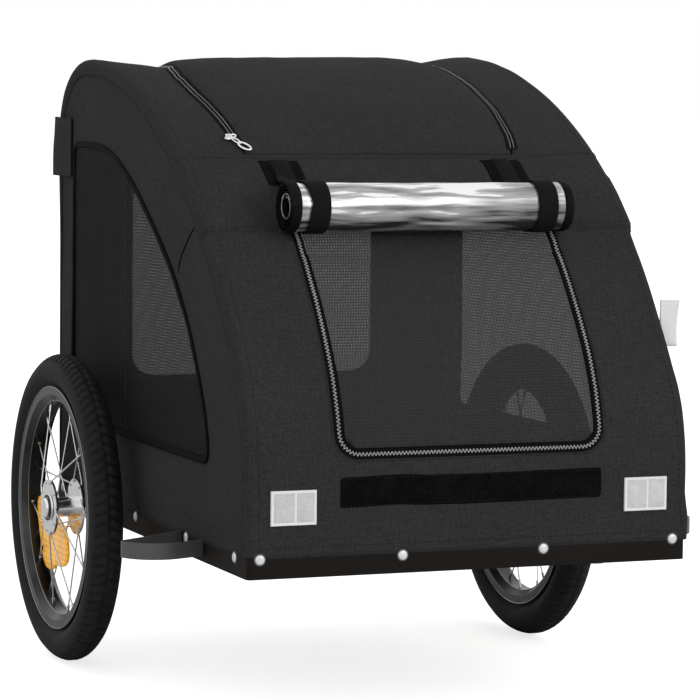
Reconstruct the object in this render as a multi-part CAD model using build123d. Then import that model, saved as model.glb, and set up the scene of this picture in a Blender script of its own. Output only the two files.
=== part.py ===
from build123d import *
import os
from math import atan2, cos, degrees, radians, sin, sqrt

# Dog bike trailer, in millimetres.
# +X is the trailer's left, +Y its rear, +Z up. The origin is the middle of the
# tray's front lower edge, where the trailer is held level.

# Overall body
body_width = 572.0
body_length = 770.0
body_height = 602.0

# Pressed tray
tray_wall = 1.5
tray_lip = 24.0
tray_corner = 6.0

# Cover: fabric walls over a tube frame
fabric = 3.0
frame_tube = 16.0
frame_wall = 1.2
frame_gap = 0.3
seat_gap = 0.3
zip_gap = 5.0

# Side outline: upright front, three tangent arcs, level roof, rear corner
front_upright = 98.5
brow_radius = 503.5
roof_straight = 31.5
rear_corner = 121.0
nose_share = 0.665
brow_share = 0.414

# Side windows
window_border = 124.0
window_sill = 122.0
window_rear_border = 77.0
window_corner = 16.0
binding_width = 8.0
binding_thick = 1.5
mesh_thick = 0.8

# Front door
door_width = 340.0
door_sill = 143.0
door_head_drop = 31.0131
door_corner = 22.0
door_rim = 12.0

# Roof and rear flaps
hatch_front = 275.0
hatch_width = 380.0
rear_flap_sill = 49.0
rear_window_sill = 168.0
rear_window_border = 14.0
rear_window_corner = 32.0
rear_flap_head = 26.0

# Rolled rain cover
roll_radius = 31.0
roll_length = 373.0
roll_shift = -3.0
roll_turn = 46.9
strap_width = 26.0
strap_thick = 1.5
strap_border = 35.5
patch_width = 53.0
patch_length = 40.0
patch_gap = 13.0

# Front furniture
strip_border = 29.5
strip_height = 38.0
strip_gap = 25.0
reflector_width = 57.0
reflector_height = 41.0
reflector_depth = 6.0
reflector_border = 28.0
reflector_low = 61.0

# Tag at the rear corner
tag_height = 80.0
tag_drop = 74.0
tag_reach = 22.0
tag_on_side = 66.0
tag_thick = 2.5

# Wheels
wheel_radius = 202.5
wheel_gap = 48.6
axle_height = 16.5
axle_from_front = 572.0
tyre_section = 22.0
tyre_seat = 1.5
rim_depth = 19.0
rim_half_width = 17.0
rim_wall = 1.7
rim_well_depth = 7.0
rim_spread = 3.0
rim_stagger = 1.2
rim_seat = 0.3
bead_gap = 0.2
spoke_count = 20
spoke_diameter = 2.0
spoke_lead = 38.0
spoke_turn = -33.0
spoke_gap = 0.15
spoke_head = 1.8
nipple_diameter = 4.0
nipple_length = 11.0
hub_flange_radius = 37.0
hub_hole_inset = 4.0
hub_barrel_radius = 13.0
hub_outer_flange = 21.0
hub_inner_flange = -15.0
hub_flange_thick = 3.0
hub_end_radius = 17.0
hub_outer_end = 24.0
hub_inner_end = -24.0
axle_radius = 6.0
axle_clearance = 0.05
axle_collar = 4.0
plate_radius = 83.0
plate_length = 88.0
plate_width = 50.0
plate_thick = 7.0
plate_shift = 1.0
plate_corner = 12.0
plate_spokes = (13, 14)
button_radius = 13.0
button_thick = 4.0
receiver_wall = 6.0
receiver_length = 70.0

# Wheel guards
guard_bar = 20.0
guard_thick = 3.0
guard_low = 7.0
guard_front = 158.5
guard_rear = 238.0
guard_bow = 80.3
guard_bow_front = 127.9
guard_bow_radius = 45.0
guard_reach = 97.0
guard_tip = 179.3
guard_tip_radius = 6.0
guard_tip_share = 0.1

# Drawbar, swung under the tray
drawbar_tube = 20.0
drawbar_wall = 2.0
pivot_plate = 3.0
pivot_plate_width = 48.0
pivot_plate_length = 60.0
pivot_border = 40.0
pivot_from_front = 165.0
pivot_pin_radius = 5.0
pivot_clearance = 0.05
drawbar_first = 375.0
drawbar_second = 190.0
drawbar_bend = 40.0
drawbar_bend_radius = 60.0
drawbar_stow = 136.0
hitch_ear = 4.0
hitch_gap = 13.0
hitch_hole = 5.1
hitch_length = 40.0

os.makedirs("parts", exist_ok=True)

drawbar_drop = pivot_plate + 0.5 + drawbar_tube / 2
half_width = body_width / 2
inner_half = half_width - fabric
rear_window_width = hatch_width - 2 * rear_window_border
strap_middle = roll_length / 2 - strap_border
patch_rear = hatch_front - patch_gap
patch_front = patch_rear - patch_length
strip_high = door_sill - strip_gap
strip_low = strip_high - strip_height
reflector_middle = half_width - reflector_border - reflector_width / 2
strip_width = 2 * (reflector_middle - reflector_width / 2 - strip_border)
tag_low = body_height - tag_drop - tag_height
wheel_middle = half_width + wheel_gap
rim_outer = wheel_radius - 2 * tyre_section + tyre_seat
rim_inner = rim_outer - rim_depth
rim_well = rim_outer - rim_well_depth
hub_hole_radius = hub_flange_radius - hub_hole_inset
receiver_radius = axle_radius + receiver_wall
pivot_side = half_width - pivot_border


def save(name, shape):
    """Write one piece to its own file."""
    shape.label = name
    export_step(shape, f"parts/{name}.step")


# Side outline ------------------------------------------------------------

arc_run = body_length - roof_straight - rear_corner
arc_rise = body_height - front_upright
lean = degrees(atan2(arc_run, arc_rise))
nose_turn = nose_share * lean
slope_end = 90 - brow_share * (90 - lean)


def solve_radii():
    """Nose and slope radii that make the arcs fill the run and the rise."""
    c1, s1 = cos(radians(nose_turn)), sin(radians(nose_turn))
    c2, s2 = cos(radians(slope_end)), sin(radians(slope_end))
    run = arc_run - brow_radius * c2
    rise = arc_rise - brow_radius * (1 - s2)
    a, b, c, d = 1 - c1, c1 - c2, s1, s2 - s1
    det = a * d - b * c
    return (run * d - b * rise) / det, (a * rise - c * run) / det


nose_radius, slope_radius = solve_radii()


def front_edges(inset, low):
    """Upright and three arcs of the side outline, moved inwards by inset."""
    front = Line((inset, low), (inset, front_upright))
    nose = JernArc(front @ 1, front % 1, nose_radius - inset, -nose_turn)
    slope = JernArc(nose @ 1, nose % 1, slope_radius - inset, -(slope_end - nose_turn))
    brow = JernArc(slope @ 1, slope % 1, brow_radius - inset, -(90 - slope_end))
    return [front, nose, slope, brow]


def outline(inset=0.0, low=0.0):
    """Closed side outline, moved inwards by inset, as a face in the YZ plane."""
    edges = front_edges(inset, low)
    brow = edges[-1]
    roof = Line(brow @ 1, (brow @ 1) + Vector(roof_straight, 0))
    corner = JernArc(roof @ 1, roof % 1, rear_corner - inset, -90)
    rear = Line(corner @ 1, ((corner @ 1).X, low))
    base = Line(rear @ 1, edges[0] @ 0)
    return make_face(Plane.YZ * (Curve() + [*edges, roof, corner, rear, base]))


def slab(face, x0, x1):
    """A YZ face carried from x0 to x1."""
    return Pos(x0, 0, 0) * extrude(face, x1 - x0, dir=(1, 0, 0))


def shell(outer, inner, x0, x1):
    """The wall between two insets of the side outline, open below."""
    return slab(outline(outer, tray_lip), x0, x1) - slab(outline(inner, tray_lip - 50), x0 - 1, x1 + 1)


def block(x0, x1, y0, y1, z0, z1):
    """A box by its corners."""
    return Pos((x0 + x1) / 2, (y0 + y1) / 2, (z0 + z1) / 2) * Box(x1 - x0, y1 - y0, z1 - z0)


def slope_centre():
    """Centre of the slope arc, which starts where the nose arc ends."""
    start_y = nose_radius * (1 - cos(radians(nose_turn)))
    start_z = front_upright + nose_radius * sin(radians(nose_turn))
    return start_y + slope_radius * cos(radians(nose_turn)), start_z - slope_radius * sin(radians(nose_turn))


def slope_point(turn, outset):
    """A point beside the slope arc, where the outline has turned by turn degrees."""
    centre_y, centre_z = slope_centre()
    reach = slope_radius + outset
    return centre_y - reach * cos(radians(turn)), centre_z + reach * sin(radians(turn))


door_hinge_height = slope_point(roll_turn, 0)[1] - door_head_drop


def upright_prism(width, low, high, corner, y0, y1):
    """A panel shape with rounded lower corners, carried along Y."""
    tall = high - low + 2 * corner
    face = Plane.XZ * Pos(0, low + tall / 2) * RectangleRounded(width, tall, corner)
    prism = Pos(0, y1, 0) * extrude(face, y1 - y0, dir=(0, -1, 0))
    return prism & block(-width, width, y0 - 1, y1 + 1, low - 1, high)


# Tray --------------------------------------------------------------------

def floor_tray():
    """Pressed pan with a hole in each side for the wheel's axle."""
    pan = block(-half_width, half_width, 0, body_length, 0, tray_lip)
    pan = fillet(pan.edges().filter_by(Axis.Z), tray_corner)
    hollow = block(-half_width + tray_wall, half_width - tray_wall,
                   tray_wall, body_length - tray_wall, tray_wall, tray_lip + 1)
    hollow = fillet(hollow.edges().filter_by(Axis.Z), tray_corner - tray_wall)
    axle = Pos(0, axle_from_front, axle_height) * Rot(0, 90, 0) * Cylinder(axle_radius + 0.2, body_width + 10)
    return pan - hollow - axle


# Frame -------------------------------------------------------------------

frame_inset = fabric + frame_gap + frame_tube / 2
frame_side = inner_half - frame_gap - frame_tube / 2


def side_frame(side):
    """Bent tube hoop that follows the side outline."""
    rail = outline(frame_inset, tray_wall).wires()[0].edges()
    hoop = [e for e in rail if e.center().Z > tray_wall + 1]
    path = Wire(hoop)
    start = path @ 0
    section = Plane(origin=start, z_dir=path % 0)
    ring = section * (Circle(frame_tube / 2) - Circle(frame_tube / 2 - frame_wall))
    return Pos(side * frame_side, 0, 0) * sweep(ring, path)


def cross_bar(y, z):
    """Tube between the two hoops."""
    length = 2 * (frame_side - frame_tube / 2)
    tube = Cylinder(frame_tube / 2, length) - Cylinder(frame_tube / 2 - frame_wall, length)
    return Pos(0, y, z) * Rot(0, 90, 0) * tube


# Cover -------------------------------------------------------------------

def window_face(grow=0.0):
    """Side window: the front arcs moved in, a level head, a rear edge and a sill."""
    low = window_sill - grow
    rear = body_length - window_rear_border + grow
    edges = front_edges(window_border - grow, 0)
    head = Line(edges[-1] @ 1, (rear, (edges[-1] @ 1).Y))
    back = Line(head @ 1, (rear, 0))
    base = Line(back @ 1, edges[0] @ 0)
    whole = make_face(Plane.YZ * (Curve() + [*edges, head, back, base]))
    above = Plane.YZ * Pos(0, low + body_height / 2) * Rectangle(4 * rear, body_height)
    face = (whole & above).faces()[0]
    corners = [v for v in face.vertices() if v.Z < low + 1 or v.Y > rear - 1]
    return fillet(corners, window_corner + grow)


def cover_side(side):
    """Side wall with its window cut out."""
    x0, x1 = sorted((side * inner_half, side * half_width))
    return slab(outline(0, tray_lip), x0, x1) - slab(window_face(), x0 - 1, x1 + 1)


def window_mesh(side):
    x0, x1 = sorted((side * (half_width - 0.5), side * (half_width - 0.5 - mesh_thick)))
    return slab(window_face(), x0, x1)


def window_binding(side):
    x0, x1 = sorted((side * half_width, side * (half_width + binding_thick)))
    return slab(window_face(binding_width), x0, x1) - slab(window_face(), x0 - 1, x1 + 1)


def cover_front():
    """Front wall and brow up to the hatch, with the door's opening."""
    wall = shell(0, fabric, -inner_half, inner_half)
    wall &= block(-half_width, half_width, -1, hatch_front, 0, body_height)
    opening = upright_prism(door_width + zip_gap, door_sill - zip_gap / 2,
                            door_hinge_height + seat_gap, door_corner, -1, hatch_front)
    return wall - opening


def front_panel(inset, low):
    """Door shape through the front wall, moved in by inset at sides and sill."""
    return upright_prism(door_width - zip_gap - 2 * inset, low + inset, door_hinge_height - inset,
                         max(door_corner - inset, 2), -1, hatch_front)


def front_door():
    """Zipped front flap round its mesh window."""
    wall = shell(0, fabric, -inner_half, inner_half)
    low = door_sill + zip_gap / 2
    return (wall & front_panel(0, low)) - front_panel(door_rim, low)


def front_door_mesh():
    wall = shell(0.5, 0.5 + mesh_thick, -inner_half, inner_half)
    return wall & front_panel(door_rim, door_sill + zip_gap / 2)


rear_hinge_height = body_height - rear_corner - 10


def cover_rear():
    """Roof and rear wall beside and below the flaps."""
    wall = shell(0, fabric, -inner_half, inner_half)
    wall &= block(-half_width, half_width, hatch_front, body_length + 1, 0, body_height)
    half = (hatch_width + zip_gap) / 2
    gap = block(-half, half, hatch_front - 1, body_length + 1, rear_flap_sill - zip_gap / 2, body_height + 1)
    return wall - gap


def roof_flap():
    """Flap between the two roof zips, hinged at its front edge."""
    half = (hatch_width - zip_gap) / 2
    wall = shell(0, fabric, -half, half)
    below = block(-half - 1, half + 1, body_length - rear_corner, body_length + 2,
                  0, rear_hinge_height + seat_gap)
    return (wall & block(-half, half, hatch_front + seat_gap, body_length + 1, 0, body_height + 1)) - below


def rear_window(inset=0.0):
    return upright_prism(rear_window_width - 2 * inset, rear_window_sill + inset,
                         rear_hinge_height - rear_flap_head - inset, rear_window_corner,
                         body_length - 20, body_length + 1)


def rear_flap():
    """Rear wall between the zips, round its mesh window."""
    half = (hatch_width - zip_gap) / 2
    wall = shell(0, fabric, -half, half)
    wall &= block(-half, half, body_length - 20, body_length + 1,
                  rear_flap_sill + zip_gap / 2, rear_hinge_height)
    return wall - rear_window()


def rear_flap_mesh():
    wall = shell(0.5, 0.5 + mesh_thick, -inner_half, inner_half)
    return wall & rear_window()


# Furniture ---------------------------------------------------------------

roll_y, roll_z = slope_point(roll_turn, roll_radius + strap_thick + seat_gap)


def rain_cover_roll():
    """Clear rain cover, rolled up under the brow."""
    return Pos(roll_shift, roll_y, roll_z) * Rot(0, 90, 0) * Cylinder(roll_radius, roll_length)


def roll_strap(side):
    """Strap round the roll, with its patch sewn on the brow."""
    middle = side * strap_middle + roll_shift
    x0, x1 = middle - strap_width / 2, middle + strap_width / 2
    loop = Cylinder(roll_radius + strap_thick, strap_width) - Cylinder(roll_radius, strap_width)
    loop = Pos(middle, roll_y, roll_z) * Rot(0, 90, 0) * loop
    skin = shell(-strap_thick, 0, x0, x1)
    tail = skin & block(x0, x1, roll_y, patch_rear, roll_z - roll_radius, body_height)
    wide = shell(-strap_thick, 0, middle - patch_width / 2, middle + patch_width / 2)
    patch = wide & block(middle - patch_width, middle + patch_width, patch_front, patch_rear,
                         0, body_height)
    return loop + tail + patch


def hook_strip():
    skin = shell(-strap_thick, 0, -strip_width / 2, strip_width / 2)
    return skin & block(-strip_width, strip_width, -5, 60, strip_low, strip_high)


def reflectors(y0, y1):
    """The pair of reflectors on one wall."""
    inner, outer = reflector_middle - reflector_width / 2, reflector_middle + reflector_width / 2
    high = reflector_low + reflector_height
    pair = [block(x0, x1, y0, y1, reflector_low, high) for x0, x1 in ((inner, outer), (-outer, -inner))]
    return Compound(children=pair)


def corner_tag():
    """Fabric tag sewn round the right rear corner."""
    x1 = -half_width
    return block(x1 - tag_thick, x1, body_length - tag_on_side, body_length + tag_reach,
                 tag_low, tag_low + tag_height)


# Wheels, built at the origin with the axle along X and the outside at +X --

def turned(points):
    """A solid of revolution about X from (x, radius) points."""
    return revolve(make_face(Plane.XY * Polyline(*points, close=True)), Axis.X)


def tyre():
    middle = wheel_radius - tyre_section
    half = rim_half_width - rim_wall - bead_gap
    section = Pos(0, middle) * Circle(tyre_section)
    bead_high = middle - tyre_section / 2
    bead_low = rim_well + bead_gap
    section += Pos(0, (bead_high + bead_low) / 2) * Rectangle(2 * half, bead_high - bead_low)
    return revolve(section, Axis.X)


def rim():
    w, t = rim_half_width, rim_wall
    knee = rim_inner + 8
    return turned([(-w, rim_outer), (-w, knee), (-w / 2, rim_inner), (w / 2, rim_inner), (w, knee),
                   (w, rim_outer), (w - t, rim_outer), (w - t, rim_well), (t - w, rim_well),
                   (t - w, rim_outer)])


def hub():
    """Hub shell: two flanges on a barrel, with a boss at each end."""
    t = hub_flange_thick / 2
    bore = axle_radius + axle_clearance
    points = [(hub_inner_end, bore), (hub_inner_end, hub_end_radius)]
    for place in (hub_inner_flange, hub_outer_flange):
        before = hub_end_radius if place < 0 else hub_barrel_radius
        after = hub_barrel_radius if place < 0 else hub_end_radius
        points += [(place - t, before), (place - t, hub_flange_radius),
                   (place + t, hub_flange_radius), (place + t, after)]
    points += [(hub_outer_end, hub_end_radius), (hub_outer_end, bore)]
    shape = turned(points)
    for i in range(spoke_count):
        hole = Pos(spoke_line(i)[0]) * Rot(0, 90, 0)
        shape -= hole * Cylinder(spoke_diameter / 2 + spoke_gap, 2 * hub_flange_thick)
    return shape


def bar(start, end, radius):
    """A round bar between two points."""
    return Plane(origin=(start + end) / 2, z_dir=end - start) * Cylinder(radius, (end - start).length)


def spoke_line(i):
    """Hub hole, hub end and rim end of one spoke, and whether it lies outside its flange."""
    outer = 1 if i % 2 == 0 else -1
    lean_way = 1 if (i // 2) % 2 == 0 else -1
    flange = hub_outer_flange if outer > 0 else hub_inner_flange
    at_rim = radians(i * 360 / spoke_count + spoke_turn)
    at_hub = at_rim + lean_way * radians(spoke_lead)
    y, z = hub_hole_radius * cos(at_hub), hub_hole_radius * sin(at_hub)
    beside = lean_way * (hub_flange_thick / 2 + spoke_diameter / 2 + spoke_gap)
    end = Vector(outer * rim_spread + lean_way * rim_stagger,
                 rim_inner * cos(at_rim), rim_inner * sin(at_rim))
    return Vector(flange, y, z), Vector(flange + beside, y, z), end, outer == lean_way


def share_at(start, end, radius):
    """Share of the way from start to end at which a line is radius from the axle."""
    run_y, run_z = end.Y - start.Y, end.Z - start.Z
    a = run_y ** 2 + run_z ** 2
    b = start.Y * run_y + start.Z * run_z
    c = start.Y ** 2 + start.Z ** 2 - radius ** 2
    return (sqrt(b * b - a * c) - b) / a


def spokes():
    """Laced spokes: heads in the flanges' holes, nipples in the rim."""
    radius = spoke_diameter / 2
    inside_rim = Rot(0, 90, 0) * Cylinder(rim_inner - rim_seat, 4 * rim_half_width)
    bars = []
    for i in range(spoke_count):
        hole, start, end, outside = spoke_line(i)
        far = hole + (hole - start).normalized() * (hub_flange_thick / 2 + spoke_gap)
        cap = far + (hole - start).normalized()
        wire = bar(start, far, radius) + bar(far, cap, spoke_head) + Pos(start) * Sphere(radius)
        if outside:
            share = share_at(start, end, hub_flange_radius + spoke_diameter)
            knee = Vector(start.X, start.Y + share * (end.Y - start.Y), start.Z + share * (end.Z - start.Z))
            wire += bar(start, knee, radius) + Pos(knee) * Sphere(radius)
        else:
            knee = start
        way = (end - knee).normalized()
        neck = end - way * nipple_length
        nipple = bar(neck, end + way, nipple_diameter / 2) & inside_rim
        bars.append(wire + bar(knee, neck, radius) + nipple)
    return Compound(children=bars)


def spoke_reflector():
    """Lens plate between the two rows of spokes, clipped to one spoke of each row."""
    lines = [spoke_line(i)[1:3] for i in plate_spokes]
    places = [start + (end - start) * share_at(start, end, plate_radius) for start, end in lines]
    middle = (places[0] + places[1]) / 2
    turn = degrees(atan2(middle.Z, middle.Y))
    plate = Box(plate_thick, plate_width, plate_length)
    plate = fillet(plate.edges().filter_by(Axis.X), plate_corner)
    plate = Rot(turn, 0, 0) * Pos(plate_shift, plate_radius, 0) * plate
    for place in places:
        plate += bar(Vector(plate_shift, place.Y, place.Z), place, nipple_diameter)
    for start, end in lines:
        plate -= bar(start, end, spoke_diameter / 2 + spoke_gap)
    return plate


def axle():
    """Stub axle with its release button, pushed into the tray's receiver."""
    tray_face = half_width - wheel_middle
    inner = tray_face - receiver_length + 8
    outer = hub_outer_end + 1
    shaft = Pos((inner + outer) / 2, 0, 0) * Rot(0, 90, 0) * Cylinder(axle_radius, outer - inner)
    button = Pos(outer + button_thick / 2, 0, 0) * Rot(0, 90, 0) * Cylinder(button_radius, button_thick)
    button = chamfer(button.edges().sort_by(Axis.X)[-1], 2)
    gap = hub_inner_end - 0.6 - tray_face
    collar = Pos(tray_face + gap / 2, 0, 0) * Rot(0, 90, 0) * Cylinder(axle_radius + axle_collar, gap)
    return shaft + button + collar


def at_wheel(side, shape):
    """Carry a left-hand wheel piece to its place, turned round for the right."""
    place = Pos(side * wheel_middle, axle_from_front, axle_height)
    return place * (shape if side > 0 else Rot(0, 0, 180) * shape)


def axle_receiver(side):
    """Tube on a saddle inside the tray, which takes the stub axle."""
    length = receiver_length
    x = side * (inner_half - seat_gap - length / 2)
    tube = Pos(x, axle_from_front, axle_height) * Rot(0, 90, 0) * Cylinder(receiver_radius, length)
    saddle = block(x - length / 2, x + length / 2, axle_from_front - receiver_radius,
                   axle_from_front + receiver_radius, tray_wall, axle_height)
    bore = axle_radius + axle_clearance
    hole = Pos(x, axle_from_front, axle_height) * Rot(0, 90, 0) * Cylinder(bore, length + 2)
    return tube + saddle - hole


def wheel_guard(side):
    """Flat bar bent out ahead of the wheel."""
    tip = Vector(half_width + guard_reach, guard_tip)
    bow = Vector(half_width + guard_bow, guard_bow_front)
    joint = tip + (bow - tip) * guard_tip_share
    line = FilletPolyline((half_width, guard_front), bow, joint, radius=guard_bow_radius)
    line += FilletPolyline(joint, tip, (half_width, guard_rear), radius=guard_tip_radius)
    face = trace(line, guard_thick)
    bent = Pos(0, 0, guard_low) * extrude(face, guard_bar)
    bent &= block(half_width, tip.X + 20, 0, guard_rear + 40, 0, 60)
    return bent if side > 0 else mirror(bent, Plane.YZ)


# Drawbar -----------------------------------------------------------------

def stowed(shape):
    """Swing a piece from its towing place to its place under the tray."""
    pivot = Pos(pivot_side, pivot_from_front, 0)
    return pivot * Rot(0, 0, -drawbar_stow) * pivot.inverse() * shape


bend = radians(drawbar_bend)
elbow = (pivot_side, pivot_from_front - drawbar_first, -drawbar_drop)
tip = (elbow[0] - drawbar_second * sin(bend), elbow[1] - drawbar_second * cos(bend), -drawbar_drop)


def drawbar():
    """Bent tube from the pivot to the hitch."""
    path = FilletPolyline((pivot_side, pivot_from_front + 18, -drawbar_drop), elbow, tip,
                          radius=drawbar_bend_radius)
    section = Plane(origin=path @ 0, z_dir=path % 0)
    tube = sweep(section * Circle(drawbar_tube / 2), path)
    core = sweep(section * Circle(drawbar_tube / 2 - drawbar_wall), path)
    pin_bore = Cylinder(pivot_pin_radius + pivot_clearance, 2 * drawbar_tube)
    return stowed(tube - core - Pos(pivot_side, pivot_from_front, -drawbar_drop) * pin_bore)


def hitch_fork():
    """Fork plugged into the drawbar's end, with a hole through both ears."""
    turn = Pos(*tip) * Rot(0, 0, -drawbar_bend)
    half = drawbar_tube / 2 + 1
    ear = hitch_gap / 2
    fork = block(-half, half, -hitch_length, 0, -ear - hitch_ear, ear + hitch_ear)
    slot = block(-half - 1, half + 1, -hitch_length - 1, -hitch_ear * 2, -ear, ear)
    hole = Pos(0, half - hitch_length, 0) * Cylinder(hitch_hole, 4 * ear)
    plug = Pos(0, 6, 0) * Rot(90, 0, 0) * Cylinder(drawbar_tube / 2 - drawbar_wall - 0.1, 12)
    return stowed(turn * (fork - slot - hole + plug))


def drawbar_bracket():
    """Plate welded under the tray, which holds the pivot pin."""
    plate = Pos(0, 0, -pivot_plate / 2) * Box(pivot_plate_width, pivot_plate_length, pivot_plate)
    plate = fillet(plate.edges().filter_by(Axis.Z), 8)
    hole = Cylinder(pivot_pin_radius, 4 * pivot_plate)
    return Pos(pivot_side - 4, pivot_from_front, 0) * (plate - Pos(4, 0, 0) * hole)


def drawbar_pin():
    """Headed pivot pin, up through the bar into the bracket."""
    low = -drawbar_drop - drawbar_tube / 2 - seat_gap
    shank = Pos(0, 0, low / 2) * Cylinder(pivot_pin_radius, -low)
    head = Pos(0, 0, low - 1.5) * Cylinder(9, 3)
    return Pos(pivot_side, pivot_from_front, 0) * (shank + head)


# Write the pieces --------------------------------------------------------

sides = {"left": 1, "right": -1}
bar_y, bar_z = slope_point(53, -frame_inset)

save("floor_tray", floor_tray())
save("cover_front", cover_front())
save("cover_rear", cover_rear())
save("front_door", front_door())
save("front_door_mesh", front_door_mesh())
save("roof_flap", roof_flap())
save("rear_flap", rear_flap())
save("rear_flap_mesh", rear_flap_mesh())
save("cross_bar_front", cross_bar(bar_y, bar_z))
save("cross_bar_rear", cross_bar(body_length - rear_corner, body_height - fabric - zip_gap - frame_tube / 2))
save("rain_cover_roll", rain_cover_roll())
save("hook_strip", hook_strip())
save("corner_tag", corner_tag())
save("reflectors_front", reflectors(-reflector_depth, 0))
save("reflectors_rear", reflectors(body_length, body_length + reflector_depth))
save("drawbar", drawbar())
save("hitch_fork", hitch_fork())
save("drawbar_bracket", drawbar_bracket())
save("drawbar_pin", drawbar_pin())
for name, side in sides.items():
    save(f"side_frame_{name}", side_frame(side))
    save(f"cover_side_{name}", cover_side(side))
    save(f"window_mesh_{name}", window_mesh(side))
    save(f"window_binding_{name}", window_binding(side))
    save(f"roll_strap_{name}", roll_strap(side))
    save(f"tyre_{name}", at_wheel(side, tyre()))
    save(f"rim_{name}", at_wheel(side, rim()))
    save(f"hub_{name}", at_wheel(side, hub()))
    save(f"spokes_{name}", at_wheel(side, spokes()))
    save(f"spoke_reflector_{name}", at_wheel(side, spoke_reflector()))
    save(f"axle_{name}", at_wheel(side, axle()))
    save(f"axle_receiver_{name}", axle_receiver(side))
    save(f"wheel_guard_{name}", wheel_guard(side))
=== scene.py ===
import math
import bpy
import numpy as np
from mathutils import Matrix, Vector

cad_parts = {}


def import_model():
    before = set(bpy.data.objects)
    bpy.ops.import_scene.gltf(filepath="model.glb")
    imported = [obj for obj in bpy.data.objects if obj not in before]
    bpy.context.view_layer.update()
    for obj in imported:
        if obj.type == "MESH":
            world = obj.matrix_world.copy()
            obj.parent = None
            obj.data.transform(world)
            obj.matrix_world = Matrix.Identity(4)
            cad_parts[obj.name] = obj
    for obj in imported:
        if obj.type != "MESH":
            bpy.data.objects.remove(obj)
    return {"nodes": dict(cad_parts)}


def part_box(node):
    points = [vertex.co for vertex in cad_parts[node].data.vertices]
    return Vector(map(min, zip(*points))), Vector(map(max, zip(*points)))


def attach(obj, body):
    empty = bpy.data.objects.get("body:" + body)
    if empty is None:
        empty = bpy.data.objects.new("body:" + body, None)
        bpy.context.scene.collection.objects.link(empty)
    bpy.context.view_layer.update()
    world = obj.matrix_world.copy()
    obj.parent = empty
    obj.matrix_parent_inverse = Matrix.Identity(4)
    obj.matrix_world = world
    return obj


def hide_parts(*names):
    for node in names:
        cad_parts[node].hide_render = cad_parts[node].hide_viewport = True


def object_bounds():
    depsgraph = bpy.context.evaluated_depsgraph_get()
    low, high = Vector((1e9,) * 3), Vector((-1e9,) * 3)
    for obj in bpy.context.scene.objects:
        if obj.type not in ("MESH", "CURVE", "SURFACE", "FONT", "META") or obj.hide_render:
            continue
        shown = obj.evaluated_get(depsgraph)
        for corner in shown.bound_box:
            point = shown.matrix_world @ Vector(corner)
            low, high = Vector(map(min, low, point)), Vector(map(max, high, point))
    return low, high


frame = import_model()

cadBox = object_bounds()
sides = {"left": 1, "right": -1}

# camera
cameraView = {"place": (-1.5697, -3.5252, 0.5814), "yaw": 0.3804, "pitch": 0.0826, "roll": 0.0107,
              "lens": 167.15, "sensor": 36.0, "farthest": 60}


def makeCamera(view):
    # looks along yaw from +Y towards +X, pitched down, then rolled about that line
    yaw, pitch, roll = view["yaw"], view["pitch"], view["roll"]
    ahead = Vector((math.sin(yaw) * math.cos(pitch), math.cos(yaw) * math.cos(pitch), -math.sin(pitch)))
    right = Vector((math.cos(yaw), -math.sin(yaw), 0))
    above = right.cross(ahead)
    turnedRight = right * math.cos(roll) + above * math.sin(roll)
    turnedUp = above * math.cos(roll) - right * math.sin(roll)
    camera = bpy.data.objects.new("camera", bpy.data.cameras.new("camera"))
    camera.data.lens, camera.data.sensor_width = view["lens"], view["sensor"]
    camera.data.clip_end = view["farthest"]
    turn = Matrix((turnedRight, turnedUp, -ahead)).transposed().to_4x4()
    camera.matrix_world = Matrix.Translation(view["place"]) @ turn
    bpy.context.collection.objects.link(camera)
    bpy.context.scene.camera = camera


makeCamera(cameraView)
print("camera made")


# materials; colours are linear, and sizes in the patterns are in metres
class Value:
    # wraps a socket, so that shader maths is written as plain expressions
    def __init__(self, finish, socket):
        self.finish, self.socket = finish, socket

    def maths(self, operation, *terms):
        # a maths node with the terms on its sockets
        return self.finish.add("ShaderNodeMath", {"operation": operation}, dict(enumerate(terms)))

    def __add__(self, other):
        return self.maths("ADD", self, other)

    def __sub__(self, other):
        return self.maths("SUBTRACT", self, other)

    def __rsub__(self, other):
        return self.maths("SUBTRACT", other, self)

    def __mul__(self, other):
        return self.maths("MULTIPLY", self, other)

    def sine(self):
        return self.maths("SINE", self)

    def size(self):
        return self.maths("ABSOLUTE", self)

    def fraction(self):
        return self.maths("FRACT", self)


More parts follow.
